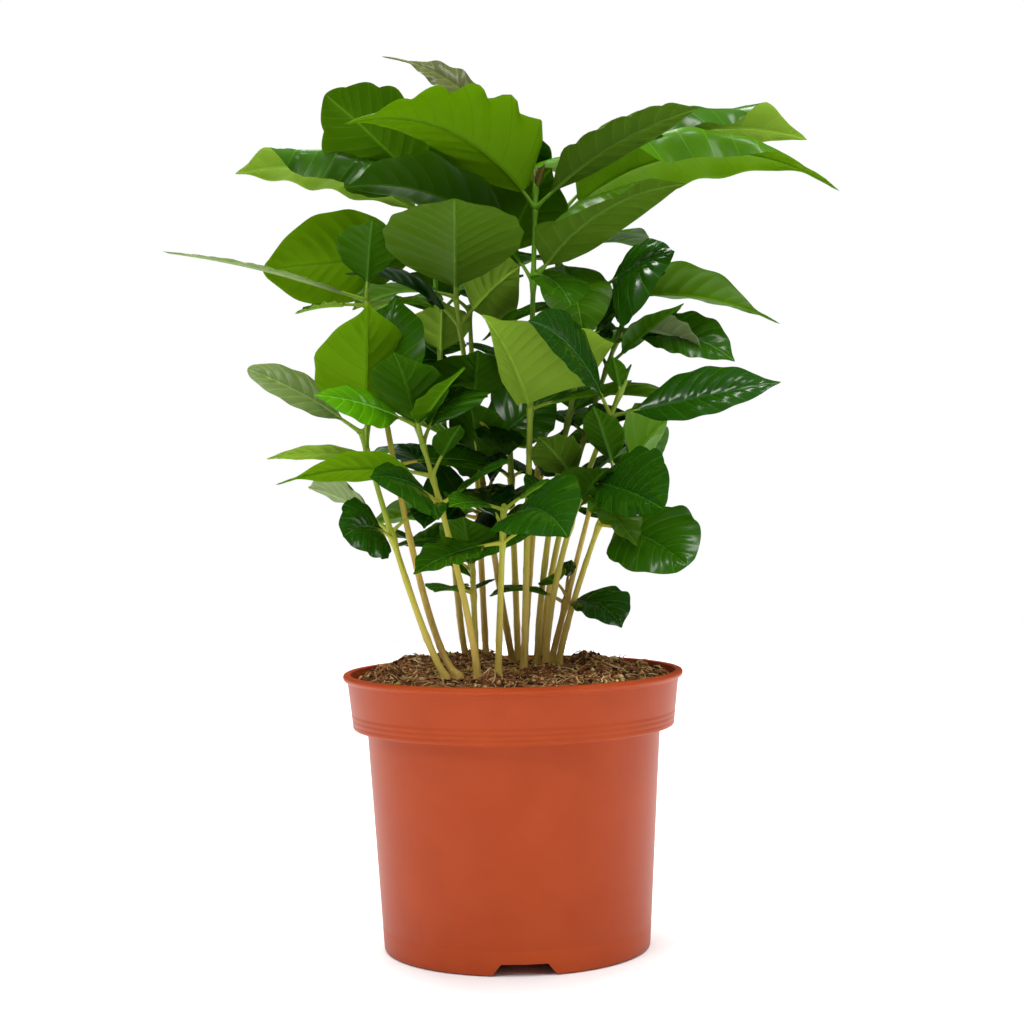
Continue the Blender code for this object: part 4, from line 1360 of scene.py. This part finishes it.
# Lamps, in metres and watts: place, aim, size, power, whether they show in shiny leaves
LAMPS = {
    "key": ((-0.9, -1.0, 1.25), (0, 0, 0.2), (0.5, 0.5), 8.0, True),
    "fill": ((1.2, -0.8, 0.7), (0, 0, 0.2), (0.4, 0.8), 3.5, True),
    "glint": ((-0.35, 0.55, 1.35), (0, 0, 0.2), (0.5, 0.35), 7.0, True),
    "sheen": ((0.15, -0.5, 1.35), (0, 0, 0.2), (0.5, 0.3), 3.5, True),
    "top": ((0.1, 0.25, 1.5), (0, 0, 0.15), (1.2, 1.0), 11.0, False),
    "back": ((0.3, 1.3, 0.9), (0, 0, 0.2), (1.2, 0.8), 7.0, False),
}


def build_camera():
    data = bpy.data.cameras.new("camera")
    data.lens = LENS
    data.sensor_width = 36.0
    data.clip_start = 0.05
    data.clip_end = 20.0
    camera = linked("camera", data)
    camera.matrix_world = (Matrix.Translation(Vector(CAMERA_PLACE) * MM)
                           @ Matrix.Rotation(math.radians(90 - CAMERA_PITCH), 4, "X")
                           @ Matrix.Rotation(math.radians(-CAMERA_ROLL), 4, "Z"))
    bpy.context.scene.camera = camera


def build_lamps():
    for name, (place, aim, size, power, glossy) in LAMPS.items():
        data = bpy.data.lights.new(name, "AREA")
        data.shape = "RECTANGLE"
        data.size, data.size_y = size
        data.energy = power
        lamp = linked(name, data)
        lamp.location = place
        way = Vector(aim) - Vector(place)
        lamp.rotation_euler = way.to_track_quat("-Z", "Y").to_euler()
        lamp.visible_glossy = glossy
    sky = bpy.data.lights.new("sky", "SUN")
    sky.energy = SKY_LIGHT
    sky.angle = math.radians(SKY_SPREAD)
    linked("sky", sky).visible_glossy = False


def build_walls():
    """White to the camera, dim as a light, dimmer still as a reflection."""
    world = bpy.data.worlds.new("studio")
    bpy.context.scene.world = world
    world.use_nodes = True
    nodes, links = world.node_tree.nodes, world.node_tree.links
    nodes.clear()
    out = nodes.new("ShaderNodeOutputWorld")
    path = nodes.new("ShaderNodeLightPath")

    def wall(strength):
        shader = nodes.new("ShaderNodeBackground")
        shader.inputs["Color"].default_value = (1, 1, 1, 1)
        shader.inputs["Strength"].default_value = strength
        return shader.outputs[0]

    def choose(ray, otherwise, then):
        mix = nodes.new("ShaderNodeMixShader")
        links.new(path.outputs[ray], mix.inputs["Fac"])
        links.new(otherwise, mix.inputs[1])
        links.new(then, mix.inputs[2])
        return mix.outputs[0]

    lit = choose("Is Glossy Ray", wall(WALL_LIGHT), wall(WALL_SHINE))
    links.new(choose("Is Camera Ray", lit, wall(1.0)), out.inputs["Surface"])


def build_floor():
    mesh = bpy.data.meshes.new("floor")
    half = FLOOR_REACH
    mesh.from_pydata([(-half, -half, 0), (half, -half, 0), (half, half, 0), (-half, half, 0)],
                     [], [(0, 1, 2, 3)])
    floor = linked("floor", mesh)
    floor.location.z = -FLOOR_DROP
    mesh.materials.append(principled("floor_white", (0.93, 0.93, 0.93), 0.7, 0.2))


def build_stage():
    build_floor()
    build_walls()
    build_lamps()
    bpy.context.scene.view_settings.view_transform = "Standard"
    bpy.context.scene.view_settings.look = "None"


# ---------------------------------------------------------------- build

def dress(obj, slot, *nodes):
    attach(obj, "root")
    if nodes:
        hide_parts(*nodes)


def solid_stems():
    """The solids' stems as (seedling, its tree), which no other seedling's leaf may touch."""
    return [(name, limb_tree(seedling, heights)) for name, seedling in SEEDLINGS.items()
            for heights in (bare_heights(seedling), leafy_heights(seedling))]


def build_seedlings():
    palette = leaf_materials()
    barks = {kind: stem_material(kind, ripe) for kind, ripe in BARKS.items()}
    for name, leaves in grown_leaves(solid_stems()).items():
        chance = random.Random("leaf" + name)
        for _, leaf in leaves:
            tone = leaf["look"] or chance.choice(OTHER_TONES)
            leaf["look"] = look(tone) if isinstance(tone, str) else tone
        dress(build_leaves(name, leaves, palette, chance), "leaf", "foliage_" + name)
        bark = barks[BARK_OF.get(name, "young_bark")]
        stalk = build_stem(name, SEEDLINGS[name], leaves, bark, chance)
        dress(stalk, "stem", "stem_" + name)


def main():
    build_seedlings()
    dress(build_pot(), "pot", "pot")
    chance = random.Random(SOIL_SEED)
    soil, lumps = build_soil(chance)
    dress(soil, "soil", "soil")
    dress(build_litter(lumps, chance), "soil")
    build_camera()
    build_stage()


main()
